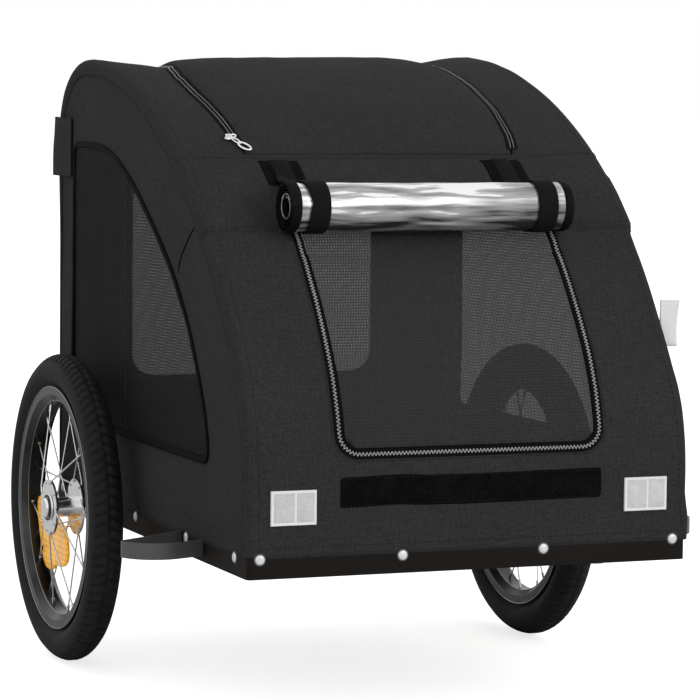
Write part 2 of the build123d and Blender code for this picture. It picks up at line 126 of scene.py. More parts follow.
class Finish:
    # one material on a Principled shader; constants go on the shader's own sockets
    def __init__(self, name, **constants):
        self.material = bpy.data.materials.new(name)
        self.material.use_nodes = True
        self.tree = self.material.node_tree
        self.shader = self.tree.nodes["Principled BSDF"]
        for key, value in constants.items():
            self.set(key.replace("_", " "), value)

    def give(self, node, socket, value):
        # sockets are named by place, identifier or name
        if isinstance(socket, int):
            target = node.inputs[socket]
        else:
            target = [s for s in node.inputs if socket in (s.identifier, s.name)][0]
        if isinstance(value, Value):
            self.tree.links.new(value.socket, target)
        elif target.type == "RGBA" and len(value) == 3:
            target.default_value = (*value, 1)
        else:
            target.default_value = value

    def add(self, kind, settings, values, out=0):
        # any node: its settings first, then the values or links of its sockets
        node = self.tree.nodes.new(kind)
        stops = settings.pop("stops", ())
        for stop, (place, colour) in enumerate(stops):
            if stop > 1:
                node.color_ramp.elements.new(place)
            element = node.color_ramp.elements[stop]
            element.position, element.color = place, (*colour, 1)
        for key, value in settings.items():
            setattr(node, key, value)
        for key, value in values.items():
            self.give(node, key, value)
        found = [s for s in node.outputs if out in (s.identifier, s.name)]
        return Value(self, found[0] if found else node.outputs[out])

    def set(self, socket, value):
        # value or link on the shader's own socket
        self.give(self.shader, socket, value)

    def place(self, uv=False, scale=(1, 1, 1)):
        # where the pattern is read: the cloth's UV map or the object's own coordinates
        start = self.add("ShaderNodeTexCoord", {}, {}, "UV" if uv else "Object")
        return self.add("ShaderNodeMapping", {}, {"Vector": start, "Scale": scale})

    def part(self, vector, axis):
        # one coordinate of a place
        return self.add("ShaderNodeSeparateXYZ", {}, {0: vector}, axis)

    def wave(self, vector, axis, pitch):
        # sine with one full wave a pitch along an axis
        return (self.part(vector, axis) * (math.tau / pitch)).sine()

    def noise(self, vector, scale, detail=3.0, rough=0.55):
        # cloudy pattern from 0 to 1, with about as many clouds a metre as its scale
        values = {"Vector": vector, "Scale": scale, "Detail": detail, "Roughness": rough}
        return self.add("ShaderNodeTexNoise", {}, values, "Fac")

    def mix(self, share, low, high):
        # colour a share of the way from low to high
        values = {"Factor_Float": share, "A_Color": low, "B_Color": high}
        return self.add("ShaderNodeMix", {"data_type": "RGBA"}, values, "Result_Color")

    def spread(self, value, low, high, toLow=0.0, toHigh=1.0):
        # value carried from one range to another, and held at its ends
        values = {"Value": value, "From Min": low, "From Max": high, "To Min": toLow, "To Max": toHigh}
        return self.add("ShaderNodeMapRange", {}, values)

    def tint(self, shade, start, end, low, high):
        # base colour from low to high as the shade goes from start to end
        self.set("Base Color", self.mix(self.spread(shade, start, end), low, high))

    def gloss(self, shade, low, high, start=0.3, end=0.7):
        # roughness from low to high as the shade goes from start to end
        self.set("Roughness", self.spread(shade, start, end, low, high))

    def bump(self, height, distance, strength):
        # shading as if the surface stood up by the height times the distance
        values = {"Height": height, "Distance": distance, "Strength": strength}
        self.set("Normal", self.add("ShaderNodeBump", {}, values, "Normal"))


clothColours = {"low": (0.0185, 0.0186, 0.0189), "high": (0.0480, 0.0482, 0.0487), "thread": 0.0011,
                "yarn": 620.0, "bump": 0.00025}


def clothFinish(name, colours):
    # yarns of slightly different greys run along both ways of the weave; its knots are the product of two
    # sines, warp and weft taking turns
    finish = Finish(name, Roughness=0.92, Specular_IOR_Level=0.06)
    uv = finish.place(uv=True)
    warp = finish.noise(finish.place(uv=True, scale=(1.0, 0.07, 1.0)), colours["yarn"], 2.0)
    weft = finish.noise(finish.place(uv=True, scale=(0.07, 1.0, 1.0)), colours["yarn"], 2.0)
    fleck, cloud = finish.noise(uv, 330.0, 3.0, 0.7), finish.noise(uv, 9.0, 2.0)
    knots = finish.wave(uv, "X", colours["thread"]) * finish.wave(uv, "Y", colours["thread"])
    grain = finish.noise(uv, 260.0, 1.0)
    shade = warp * 0.3 + weft * 0.3 + fleck * 0.35 + grain * 0.35 + cloud * 0.1 + knots * 0.05
    finish.tint(shade, 0.50, 0.90, colours["low"], colours["high"])
    finish.gloss(fleck, 0.84, 0.98)
    finish.bump(knots * 0.5 + fleck * 0.9, colours["bump"], 0.7)
    return finish.material


doorMesh = {"strand": (0.030, 0.030, 0.0302), "shine": (0.044, 0.044, 0.0443), "pitch": 0.0041,
            "least": 0.095, "open": 0.26}
sideMesh = {"strand": (0.0085, 0.0085, 0.0087), "shine": (0.0135, 0.0135, 0.0137), "pitch": 0.0041,
            "least": 0.085, "open": 0.27}


def meshFinish(name, colours):
    # square net: each cell is open in its middle and closes softly towards the strands on its four sides
    finish = Finish(name, Roughness=0.8, Specular_IOR_Level=0.1)
    uv = finish.place(uv=True)
    clear = 1.0
    for axis in ("X", "Y"):
        phase = (finish.part(uv, axis) * (1 / colours["pitch"])).fraction()
        clear = finish.spread((phase - 0.5).size(), 0.48, 0.06) * clear
    finish.set("Alpha", 1.0 - colours["least"] - clear * colours["open"])
    streak = finish.noise(uv, 160.0, 2.0)
    finish.set("Base Color", finish.mix(streak, colours["strand"], colours["shine"]))
    finish.bump(streak * 0.2 - clear, 0.0002, 0.4)
    return finish.material


def tapeFinish(name, low, high, ribPitch, gloss=0.75):
    # woven tape: fine ribs along its length, closer picks across it, with a little fuzz
    finish = Finish(name, Roughness=gloss, Specular_IOR_Level=0.06)
    uv = finish.place(uv=True)
    ribs, picks = finish.wave(uv, "X", ribPitch), finish.wave(uv, "Y", ribPitch * 0.6)
    fuzz = finish.noise(uv, 480.0, 3.0, 0.7)
    finish.tint(ribs * 0.18 + picks * 0.08 + fuzz, 0.2, 0.85, low, high)
    finish.gloss(fuzz, gloss - 0.08, gloss + 0.1)
    finish.bump(ribs * 0.5 + picks * 0.3 + fuzz * 0.5, 0.0003, 0.6)
    return finish.material


def velvetFinish(name, low, high):
    # hook and loop face: dense tufts that break the light up
    finish = Finish(name, Roughness=0.98, Specular_IOR_Level=0.02)
    at = finish.place()
    tufts, patches = finish.noise(at, 420.0, 4.0, 0.8), finish.noise(at, 38.0, 3.0)
    finish.tint(tufts * 0.8 + patches * 0.4, 0.45, 0.85, low, high)
    finish.gloss(patches, 0.9, 1.0)
    finish.bump(tufts, 0.0016, 1.0)
    return finish.material


def metalFinish(name, low, high, rough, scale=220.0, metallic=1.0):
    # drawn or plated metal: fine streaks in colour and gloss, dulled in cloudy patches
    finish = Finish(name, Metallic=metallic, Specular_IOR_Level=0.5)
    at = finish.place()
    streak, cloud = finish.noise(at, scale, 4.0, 0.6), finish.noise(at, 14.0, 2.0)
    finish.tint(streak * 0.6 + cloud * 0.5, 0.3, 0.8, low, high)
    finish.gloss(streak * 0.5 + cloud * 0.5, rough * 0.75, rough * 1.3)
    finish.bump(streak, 0.00006, 0.5)
    return finish.material


def paintFinish(name, low, high, rough, shine=0.3):
    # powder coat: orange-peel grain over a slightly uneven satin colour
    finish = Finish(name, Specular_IOR_Level=shine)
    at = finish.place()
    peel, cloud = finish.noise(at, 700.0, 2.0), finish.noise(at, 11.0, 3.0)
    finish.tint(cloud * 0.7 + peel * 0.3, 0.3, 0.7, low, high)
    finish.gloss(peel * 0.5 + cloud * 0.5, rough - 0.07, rough + 0.09, 0.35, 0.65)
    finish.bump(peel, 0.00012, 0.6)
    return finish.material


def rubberFinish(name, low, high):
    # tyre rubber: matt, with grey dust in the hollows' noise
    finish = Finish(name, Specular_IOR_Level=0.12)
    at = finish.place()
    dust, skin = finish.noise(at, 60.0, 4.0, 0.65), finish.noise(at, 900.0, 2.0)
    finish.tint(dust * 0.8 + skin * 0.25, 0.35, 0.8, low, high)
    finish.gloss(dust, 0.6, 0.82)
    finish.bump(skin * 0.6 + dust * 0.6, 0.0002, 0.6)
    return finish.material


def lensFinish(name, low, high, pitch, rough=0.22, glow=0.0):
    # prismatic lens: rows of small pyramids behind a clear face; a glow, where given, is painted light:
    # emission that stands in for the light that the lens passes on
    finish = Finish(name, Specular_IOR_Level=0.6, Coat_Weight=0.5, Coat_Roughness=0.08,
                    Emission_Strength=glow)
    at = finish.place()
    rows = finish.wave(at, "X", pitch) + finish.wave(at, "Z", pitch) + finish.wave(at, "Y", pitch)
    cloud = finish.noise(at, 70.0, 3.0)
    colour = finish.mix(finish.spread(rows * 0.16 + cloud, 0.15, 0.85), low, high)
    finish.set("Base Color", colour)
    # painted light: the lens glows in its own colour
    if glow:
        finish.set("Emission Color", colour)
    finish.gloss(cloud, rough - 0.08, rough + 0.1)
    finish.bump(rows, 0.0002, 0.5)
    return finish.material


# stops are the tones at which the film turns from one grey to the next: dark where the black core shows
# through, white as painted highlight; lanes are (stretch, scale, detail)
filmTonesAndPaintedHighlights = {"stops": [(0.0, (0.030, 0.030, 0.031)), (0.545, (0.030, 0.030, 0.031)),
                         (0.57, (0.14, 0.14, 0.142)), (0.66, (0.34, 0.34, 0.345)),
                         (0.735, (0.50, 0.50, 0.50)), (0.755, (0.96, 0.96, 0.96))],
               "lanes": ((0.13, 40.0, 1.0), (0.12, 95.0, 1.0), (0.09, 300.0, 2.0)),
               "low": 0.404, "high": 0.452}


def filmFinish(name, colours):
    # rolled clear film: long wavy lanes along the roll, grey where the dark core shows through and white as
    # painted highlight, and paler towards the top as painted light
    finish = Finish(name, Metallic=0.3, Specular_IOR_Level=0.4, Coat_Weight=0.25, Coat_Roughness=0.05)
    uv, at = finish.place(uv=True), finish.place()
    bend = finish.noise(finish.place(uv=True, scale=(0.55, 0.4, 1.0)), 16.0, 1.0)
    around = finish.part(uv, "Y") + bend * 0.016
    lanes = []
    for along, scale, detail in colours["lanes"]:
        lane = finish.add("ShaderNodeCombineXYZ", {}, {0: finish.part(uv, "X") * along, 1: around})
        lanes.append(finish.noise(lane, scale, detail, 0.5))
    # painted light: the film is made paler towards the top of the roll
    height = finish.spread(finish.part(at, "Z"), colours["low"], colours["high"])
    tone = lanes[0] * 0.56 + lanes[1] * 0.44 + lanes[2] * 0.18 + height * 0.15
    finish.set("Base Color", finish.add("ShaderNodeValToRGB", {"stops": colours["stops"]}, {"Fac": tone}))
    finish.gloss(lanes[2], 0.08, 0.25)
    finish.bump(lanes[0] * 0.8 + lanes[1] * 0.3, 0.003, 0.5)
    return finish.material


cloth = clothFinish("cover cloth", clothColours)
doorNetFinish = meshFinish("door net", doorMesh)
net = meshFinish("black net", sideMesh)
binding = tapeFinish("binding tape", (0.0012, 0.0012, 0.0013), (0.0045, 0.0045, 0.0047), 0.0012)
webbing = tapeFinish("webbing", (0.0050, 0.0050, 0.0052), (0.0120, 0.0120, 0.0123), 0.0016, 0.8)
patchCloth = tapeFinish("patch", (0.0012, 0.0012, 0.0013), (0.0050, 0.0050, 0.0052), 0.0024, 0.9)
blackRing = paintFinish("axle seal", (0.008, 0.008, 0.009), (0.018, 0.018, 0.02), 0.4)
zipTape = tapeFinish("zip tape", (0.0025, 0.0025, 0.0027), (0.0085, 0.0085, 0.009), 0.0009, 0.82)
thread = tapeFinish("thread", (0.006, 0.006, 0.0065), (0.02, 0.02, 0.021), 0.0005, 0.6)
coilFinish = metalFinish("zip coil", (0.22, 0.22, 0.22), (0.44, 0.44, 0.44), 0.45, 300.0, metallic=0.1)
greyCoil = metalFinish("roof zip coil", (0.08, 0.08, 0.08), (0.21, 0.21, 0.21), 0.4, 300.0, metallic=0.2)
pullMetal = metalFinish("zip pull", (0.62, 0.62, 0.61), (0.85, 0.85, 0.84), 0.18, 120.0)
rivetMetal = metalFinish("rivet", (0.66, 0.66, 0.65), (0.86, 0.86, 0.85), 0.38, 200.0, metallic=0.35)
velvet = velvetFinish("loop strip", (0.0022, 0.0022, 0.0023), (0.0120, 0.0120, 0.0125))
film = filmFinish("clear film", filmTonesAndPaintedHighlights)
blackBand = tapeFinish("roll end band", (0.0025, 0.0025, 0.0026), (0.008, 0.008, 0.0085), 0.002, 0.6)
whiteLens = lensFinish("white lens", (0.56, 0.56, 0.56), (0.74, 0.74, 0.735), 0.0022)
whiteFrame = paintFinish("lens frame", (0.80, 0.80, 0.79), (0.92, 0.92, 0.91), 0.35)
redLens = lensFinish("red lens", (0.22, 0.006, 0.006), (0.46, 0.016, 0.014), 0.0022)
redFrame = paintFinish("red lens frame", (0.20, 0.006, 0.006), (0.30, 0.01, 0.01), 0.3)
# the amber lens's glow is painted light
amberLens = lensFinish("amber lens", (0.62, 0.24, 0.004), (0.95, 0.50, 0.030), 0.0075, 0.2, glow=0.42)
# black powder coat; its warm brown tint is painted light, standing in for warm light reflected off the floor
trayPaintWithPaintedWarmth = paintFinish("tray paint", (0.0068, 0.0053, 0.0044), (0.0112, 0.0092, 0.0078), 0.6, shine=0.10)
framePaint = paintFinish("frame paint", (0.020, 0.020, 0.021), (0.036, 0.036, 0.037), 0.45, shine=0.2)
guardPaint = paintFinish("guard paint", (0.066, 0.066, 0.0665), (0.105, 0.105, 0.106), 0.40, shine=0.35)
barPaint = paintFinish("drawbar paint", (0.030, 0.030, 0.031), (0.055, 0.055, 0.056), 0.4)
rubber = rubberFinish("tyre rubber", (0.0085, 0.0085, 0.0087), (0.026, 0.026, 0.0263))
rimMetal = metalFinish("rim metal", (0.012, 0.012, 0.0124), (0.070, 0.070, 0.071), 0.30, 22.0, metallic=0.9)
# a brighter copy of the rim metal, as painted highlight on the rim's edges
rimHighlightMetal = metalFinish("rim edge painted highlight", (0.10, 0.10, 0.10), (0.42, 0.42, 0.42), 0.25, 18.0, metallic=0.9)
chrome = metalFinish("hub chrome", (0.70, 0.70, 0.70), (0.95, 0.95, 0.94), 0.14, 90.0)
spokeSteel = metalFinish("spoke steel", (0.52, 0.52, 0.52), (0.78, 0.78, 0.78), 0.24, 260.0)
labelCloth = tapeFinish("blank label", (0.88, 0.88, 0.88), (0.96, 0.96, 0.96), 0.0008, 0.8)
print("materials made")


# mesh making
def stacked(*parts):
    # arrays spread to one shape, then joined as the coordinates of points
    return np.stack(np.broadcast_arrays(*parts), -1)


def middleOf(node):
    # centre of a CAD node's box
    low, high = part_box(node)
    return np.array([(low.x + high.x) / 2, (low.y + high.y) / 2, (low.z + high.z) / 2])


def gridFaces(rows, columns, closeRows=False, closeColumns=False, flip=False):
    # each cell joins a grid's neighbours; a closed way joins its last to its first
    a, b = np.meshgrid(np.arange(rows if closeRows else rows - 1),
                       np.arange(columns if closeColumns else columns - 1), indexing="ij")
    c, d = (a + 1) % rows, (b + 1) % columns
    faces = np.stack([a * columns + b, c * columns + b, c * columns + d, a * columns + d], -1).reshape(-1, 4)
    return faces[:, ::-1] if flip else faces


def flatArea(u, v, faces):
    # area of the faces in the cloth's own flat measures, by each face's sum of cross products
    total = 0.0
    for group in faces if isinstance(faces, list) else [faces]:
        a, b = u.ravel()[group], v.ravel()[group]
        total += np.abs((a * np.roll(b, -1, 1) - np.roll(a, -1, 1) * b).sum(1)).sum() / 2
    return float(total)


def makePiece(name, points, faces, finish, body="chassis", slot="black_webbing", uv=None, replaced=(),
              thick=0.0, offset=-1.0, smooth=True):
    # points and faces are arrays; only the points that a face uses are kept
    points = np.asarray(points, float).reshape(-1, 3)
    groups = faces if isinstance(faces, list) else [faces]
    used, order = np.unique(np.concatenate([g.ravel() for g in groups]), return_inverse=True)
    cuts = np.cumsum([g.size for g in groups])[:-1]
    groups = [part.reshape(g.shape) for part, g in zip(np.split(order.ravel(), cuts), groups)]
    mesh = bpy.data.meshes.new(name)
    mesh.from_pydata(points[used].tolist(), [], [f for g in groups for f in g.tolist()])
    mesh.polygons.foreach_set("use_smooth", np.full(len(mesh.polygons), smooth))
    if uv is not None:
        corners = np.empty(len(mesh.loops), int)
        mesh.loops.foreach_get("vertex_index", corners)
        layer = mesh.uv_layers.new(name="cloth")
        layer.data.foreach_set("uv", np.asarray(uv, float).reshape(-1, 2)[used][corners].ravel())
    mesh.materials.append(finish)
    piece = bpy.data.objects.new(name, mesh)
    bpy.context.collection.objects.link(piece)
    if thick:
        wall = piece.modifiers.new("wall", "SOLIDIFY")
        wall.thickness, wall.offset = thick, offset
    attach(piece, body)
    if replaced:
        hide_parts(*replaced)
    return piece


def joined(parts):
    # several (points, faces) pairs as one pair, each part's faces moved up past the points before it
    points, faces, count = [], [], 0
    for somePoints, someFaces in parts:
        somePoints = np.asarray(somePoints, float).reshape(-1, 3)
        points.append(somePoints)
        faces.append(someFaces + count)
        count += len(somePoints)
    return np.concatenate(points), np.concatenate(faces)


def runAlong(line):
    # running length of a line at each of its points
    return np.concatenate([[0], np.cumsum(np.linalg.norm(np.diff(line, axis=0), axis=1))])


def resample(path, step, closed=False):
    # the same line with evenly spaced points, read off its running length
    path = np.asarray(path, float)
    if closed:
        path = np.vstack([path, path[:1]])
    run = runAlong(path)
    at = np.linspace(0, run[-1], max(int(round(run[-1] / step)), 2) + 1)
    line = np.stack([np.interp(at, run, column) for column in path.T], -1)
    return line[:-1] if closed else line


def evenly(low, high, step):
    # values from low to high, as near to a step apart as whole steps allow
    return np.linspace(low, high, max(int(round((high - low) / step)), 1) + 1)


def ringAngles(count):
    # evenly spaced angles round a full turn
    return np.arange(count) * math.tau / count


def unit(vectors):
    # vectors over their own lengths
    return vectors / np.maximum(np.linalg.norm(vectors, axis=-1, keepdims=True), 1e-12)


def slopeOf(line, closed=False):
    # direction of travel at each point, from its neighbours
    if closed:
        return unit(np.roll(line, -1, 0) - np.roll(line, 1, 0))
    return unit(np.gradient(line, axis=0))


def leftOf(line, closed=False):
    # direction to the left of the travel of a flat line
    travel = slopeOf(line, closed)
    return stacked(-travel[:, 1], travel[:, 0])


def tubeAlong(line, ups, radius, sides=6, closed=False):
    # circle carried along a line: each ring stands square to the travel, started from its up vector
    travel = slopeOf(line, closed)
    aside = unit(np.cross(travel, ups))
    above = np.cross(aside, travel)
    radius = np.broadcast_to(radius, len(line))[:, None, None]
    turn = ringAngles(sides)[None, :, None]
    points = line[:, None] + radius * (np.cos(turn) * above[:, None] + np.sin(turn) * aside[:, None])
    return points, gridFaces(len(line), sides, closed, True, flip=True)


def tapered(count, radius):
    # radius that closes to a point at both ends of an open tube
    sizes = np.full(count, float(radius))
    sizes[[0, -1]] = 0.0
    return sizes


def turned(profile, count, middle, axis="X"):
    # profile of (along, radius) pairs turned round an axis line through middle
    profile = np.asarray(profile, float)
    angle = ringAngles(count)
    along = np.broadcast_to(profile[:, 0, None], (len(profile), count))
    c, s = profile[:, 1, None] * np.cos(angle), profile[:, 1, None] * np.sin(angle)
    order = (along, c, s) if axis == "X" else (c, s, along)
    return np.stack(order, -1) + np.asarray(middle), gridFaces(len(profile), count, False, True)


def stamped(shape, faces, places, first, second, third):
    # one small shape copied to many places, each with its own three directions
    local = np.asarray(shape, float)
    points = (places[:, None] + local[None, :, 0:1] * first[:, None] + local[None, :, 1:2] * second[:, None]
              + local[None, :, 2:3] * third[:, None])
    steps = (np.arange(len(places)) * len(local))[:, None, None]
    return points.reshape(-1, 3), (faces[None] + steps).reshape(-1, faces.shape[1])


def softNoise(u, v, cell, seed):
    # smooth random heights from -1 to 1: hashed corners of a square lattice, blended by a smooth step
    a, b = np.asarray(u, float) / cell, np.asarray(v, float) / cell
    i, j = np.floor(a), np.floor(b)
    f, g = fade(a - i, 0, 1), fade(b - j, 0, 1)

    def corner(di, dj):
        # hash of a lattice corner: fraction of a large sine, spread from -1 to 1
        h = np.sin((i + di) * 127.1 + (j + dj) * 311.7 + seed * 74.7) * 43758.5453
        return 2 * (h - np.floor(h)) - 1
    low = corner(0, 0) * (1 - f) + corner(1, 0) * f
    high = corner(0, 1) * (1 - f) + corner(1, 1) * f
    return low * (1 - g) + high * g


def fade(value, start, end):
    # smooth step from 0 at start to 1 at end
    t = np.clip((value - start) / (end - start), 0, 1)
    return t * t * (3 - 2 * t)


def bell(value, width):
    # bell curve: 1 at zero, falling on both sides within about two widths
    return np.exp(-(value / width) ** 2)


# side outline of the cover
sideLow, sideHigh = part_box("cover_side_left")
halfWidth, bodyLength, bodyTop = sideHigh.x, sideHigh.y, sideHigh.z
coverLow = sideLow.z  # where cloth meets the tray
outlineShape = {"upright": 0.0985, "brow": 0.5035, "roof": 0.0315, "corner": 0.121, "noseShare": 0.665,
                "browShare": 0.414}


def outlineSegments(shape):
    # upright, nose, slope, brow, roof, rear corner, rear: each a length and a turn in radians;
    # nose and slope radii make the three arcs fill the run and the rise
    run = bodyLength - shape["roof"] - shape["corner"]
    rise = bodyTop - shape["upright"]
    lean = math.atan2(run, rise)
    nose = shape["noseShare"] * lean
    slope = math.pi / 2 - shape["browShare"] * (math.pi / 2 - lean)
    known = np.array([run - shape["brow"] * math.cos(slope), rise - shape["brow"] * (1 - math.sin(slope))])
    arcs = np.array([[1 - math.cos(nose), math.cos(nose) - math.cos(slope)],
                     [math.sin(nose), math.sin(slope) - math.sin(nose)]])
    noseRadius, slopeRadius = np.linalg.solve(arcs, known)
    turns = np.array([0, nose, slope - nose, math.pi / 2 - slope, 0, math.pi / 2, 0])
    bends = np.array([0, 1 / noseRadius, 1 / slopeRadius, 1 / shape["brow"], 0, 1 / shape["corner"], 0])
    straights = np.array([shape["upright"] - coverLow, 0, 0, 0, shape["roof"], 0,
                          bodyTop - shape["corner"] - coverLow])
    lengths = np.where(bends > 0, turns / np.maximum(bends, 1e-9), straights)
    return lengths, turns, bends


def walked(length, turn, bend):
    # (y, z) gained along a run of one bend, when it starts off turned from straight up
    safe = np.where(bend > 0, bend, 1.0)
    after = turn + bend * length
    y = np.where(bend > 0, (np.cos(turn) - np.cos(after)) / safe, length * np.sin(turn))
    z = np.where(bend > 0, (np.sin(after) - np.sin(turn)) / safe, length * np.cos(turn))
    return y, z


def before(values):
    # sum of all the values before each one
    return np.concatenate([[0], np.cumsum(values)[:-1]])


segmentLengths, segmentTurns, segmentBends = outlineSegments(outlineShape)
outlineLength = float(segmentLengths.sum())
segmentStarts, startTurns = before(segmentLengths), before(segmentTurns)
gainY, gainZ = walked(segmentLengths, startTurns, segmentBends)
startY, startZ = before(gainY), coverLow + before(gainZ)


def outlineAt(s):
    # point and outward normal (y, z) at running length s round the side outline
    s = np.asarray(s, float)
    at = np.clip(np.searchsorted(segmentStarts, s, side="right") - 1, 0, len(segmentStarts) - 1)
    y, z = walked(s - segmentStarts[at], startTurns[at], segmentBends[at])
    turn = startTurns[at] + segmentBends[at] * (s - segmentStarts[at])
    return startY[at] + y, startZ[at] + z, -np.cos(turn), np.sin(turn)


denseRun = np.linspace(0, outlineLength, 4001)
denseY, denseZ = outlineAt(denseRun)[:2]
topMark, backMark = int(np.argmax(denseZ)), int(np.argmax(denseY > bodyLength - 1e-5))


def runAtHeight(z):
    # running length where the front climbs to height z
    return float(np.interp(z, denseZ[:topMark], denseRun[:topMark]))


def runAtDepth(y):
    # running length where the outline reaches depth y
    return float(np.interp(y, denseY[:backMark], denseRun[:backMark]))


def runAtBack(z):
    # running length where the rear wall comes down to height z
    return float(np.interp(-z, -denseZ[backMark:], denseRun[backMark:]))


# the cover's cloth surface, laid out flat as (across, running length)
hatchLow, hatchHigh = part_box("roof_flap")
doorLow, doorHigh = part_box("front_door")
rearLow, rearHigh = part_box("rear_flap")
coverShape = {"edge": 0.011, "roofSwell": 0.0105, "swellLean": 0.32, "drape": 0.0011, "crumple": 0.00045,
              "zipGap": 0.005, "seam": 0.007, "crease": 0.0009, "groove": {-1: 0.0065, 1: 0.0005},
              "riseFrom": {-1: 0.235, 1: 0.165}, "riseTo": 0.268, "pucker": 0.00022, "puckerPitch": 0.019,
              "corner": 0.022, "drapeCell": 0.13, "fine": 0.0005, "fineCell": 0.045, "crumpleCell": 0.021,
              "dipOut": 0.035, "dipIn": 0.010, "hemFade": 0.03, "sideBlend": 0.012, "foldReach": 0.022,
              "puffBefore": 0.02, "puffAfter": 0.13, "puffEnd": 0.22}
# heights of the cover's long edges above the outline, at these depths, on the right (-1) and left (+1)
edgeRise = {-1: [(0.0, 0.0), (0.58, 0.0), (0.65, 0.004), (0.70, 0.0065), (0.74, 0.008), (0.768, 0.006)],
            1: [(0.0, 0.0), (0.03, -0.001), (0.14, -0.001), (0.157, 0.0005), (0.166, 0.0088),
                (0.205, 0.0104), (0.228, 0.0100), (0.234, 0.0080), (0.282, 0.0078), (0.35, 0.0068),
                (0.40, 0.0062), (0.47, 0.005), (0.55, 0.0062), (0.60, 0.0098), (0.66, 0.0145), (0.71, 0.0155),
                (0.745, 0.0125), (0.768, 0.008)]}
# how far the left front corner stands out sideways, at these heights
cornerFlare = [(0.024, 0.0065), (0.038, 0.0070), (0.053, 0.0075), (0.068, 0.0050), (0.083, 0.0032),
               (0.142, 0.0040), (0.186, 0.0040), (0.214, 0.0026), (0.236, 0.0), (0.26, -0.0012),
               (0.30, -0.0018), (0.33, -0.0012), (0.38, 0.0)]
# sideways place of each roof zip against a straight line, at these depths
zipLean = {-1: [(0.28, -0.004), (0.31, -0.007), (0.37, -0.013), (0.43, -0.018), (0.50, -0.015),
                (0.56, -0.005), (0.60, 0.008), (0.66, 0.011), (0.75, 0.0)],
           1: [(0.275, -0.018), (0.31, -0.009), (0.37, -0.003), (0.44, -0.002), (0.52, -0.004),
               (0.60, -0.008), (0.70, -0.004), (0.76, 0.0)]}
halfGap = coverShape["zipGap"] / 2
flapHalf, doorHalf = hatchHigh.x, doorHigh.x + halfGap
hatchHalf, openingRadius = flapHalf + halfGap, coverShape["corner"] + halfGap
hatchStart, hatchHinge = runAtDepth(hatchLow.y), runAtBack(rearHigh.z)
hatchEnd, doorHinge = runAtBack(rearLow.z - halfGap), runAtHeight(doorHigh.z)
doorStart = runAtHeight(doorLow.z - halfGap)
flatHalf = halfWidth - coverShape["edge"]
acrossEdge = flatHalf + coverShape["edge"] * math.pi / 2
acrossEnd = acrossEdge + coverShape["seam"]
riseRuns = {side: [runAtDepth(y) for y, _ in knots] + [runAtBack(0.36)] for side, knots in edgeRise.items()}
riseHeights = {side: [height for _, height in knots] + [0.0] for side, knots in edgeRise.items()}
roofBack = runAtDepth(0.70)
leanRuns = {side: [runAtDepth(y) for y, _ in knots] for side, knots in zipLean.items()}
leanShifts = {side: [shift for _, shift in knots] for side, knots in zipLean.items()}


def flare(z, y):
    # sideways stand of the left front corner, gone by a hand's breadth behind it
    heights, shifts = zip(*cornerFlare)
    return np.interp(z, heights, shifts) * (1 - fade(y, 0.06, 0.20))


def leanAt(across, s):
    # sideways shift of the roof cloth: each zip's own table, blended between them and out to the edges
    shifts = {side: np.interp(s, leanRuns[side], leanShifts[side]) for side in (-1, 1)}
    share = np.clip(across / hatchHalf * 0.5 + 0.5, 0, 1)
    blended = shifts[-1] * (1 - share) + shifts[1] * share
    inwards = 1 - fade(np.abs(across), hatchHalf + coverShape["sideBlend"], flatHalf)
    onRoof = fade(s, hatchStart - coverShape["foldReach"], hatchStart)
    onRoof = onRoof * (1 - fade(s, hatchHinge - 0.15, hatchHinge))
    return blended * inwards * onRoof


def swell(across, s):
    # how far the cloth stands off the outline: roof puffed between its zips and lowered just outside them,
    # edges raised, soft drape, small crumples, puckers beside the zips, and a crease at each fold
    shape = coverShape
    puff = np.clip(1 - np.abs(across / hatchHalf) ** 6, 0, 1) ** 0.8
    puff = puff * (1 + shape["swellLean"] * across / hatchHalf) * shape["roofSwell"]
    puff = puff * fade(s, hatchStart - shape["puffBefore"], hatchStart + shape["puffAfter"])
    puff = puff * (1 - fade(s, hatchHinge - shape["puffEnd"], hatchHinge))
    for side in (-1, 1):
        there = side * across
        rise = np.interp(s, riseRuns[side], riseHeights[side])
        puff = puff + rise * fade(there, shape["riseFrom"][side], shape["riseTo"])
        dip = bell(there - hatchHalf, np.where(there > hatchHalf, shape["dipOut"], shape["dipIn"]))
        dip = dip * (1 - fade(s, roofBack + 0.1, roofBack + 0.3))
        puff = puff - shape["groove"][side] * dip * fade(s, hatchStart + 0.06, roofBack - 0.12)
    edge = 1 - fade(np.abs(across), flatHalf - 0.05, flatHalf)
    drape = softNoise(across, s, shape["drapeCell"], 3) * shape["drape"]
    drape = drape + softNoise(across, s, shape["fineCell"], 8) * shape["fine"]
    crumple = softNoise(across, s, shape["crumpleCell"], 5) * shape["crumple"]
    hem = fade(s, 0.0, shape["hemFade"]) * (1 - fade(s, outlineLength - shape["hemFade"], outlineLength))
    crease = 0.0
    for run, half in ((doorHinge, doorHigh.x), (hatchStart, hatchHalf), (hatchHinge, hatchHalf)):
        near = (1 - fade(np.abs(s - run), 0.002, 0.016)) * (1 - fade(np.abs(across), half, half + 0.02))
        crease = np.maximum(crease, near)
    besideZip = np.exp(-np.maximum(np.abs(np.abs(across) - hatchHalf) - 0.006, 0) / 0.012)
    besideZip = besideZip * fade(s, hatchStart - 0.01, hatchStart + 0.01)
    ripple = np.sin(s * math.tau / shape["puckerPitch"] + 3 * softNoise(across, s, 0.05, 9))
    loose = puff + (drape + crumple) * edge * hem + ripple * besideZip * shape["pucker"]
    return loose * (1 - crease) - crease * shape["crease"]


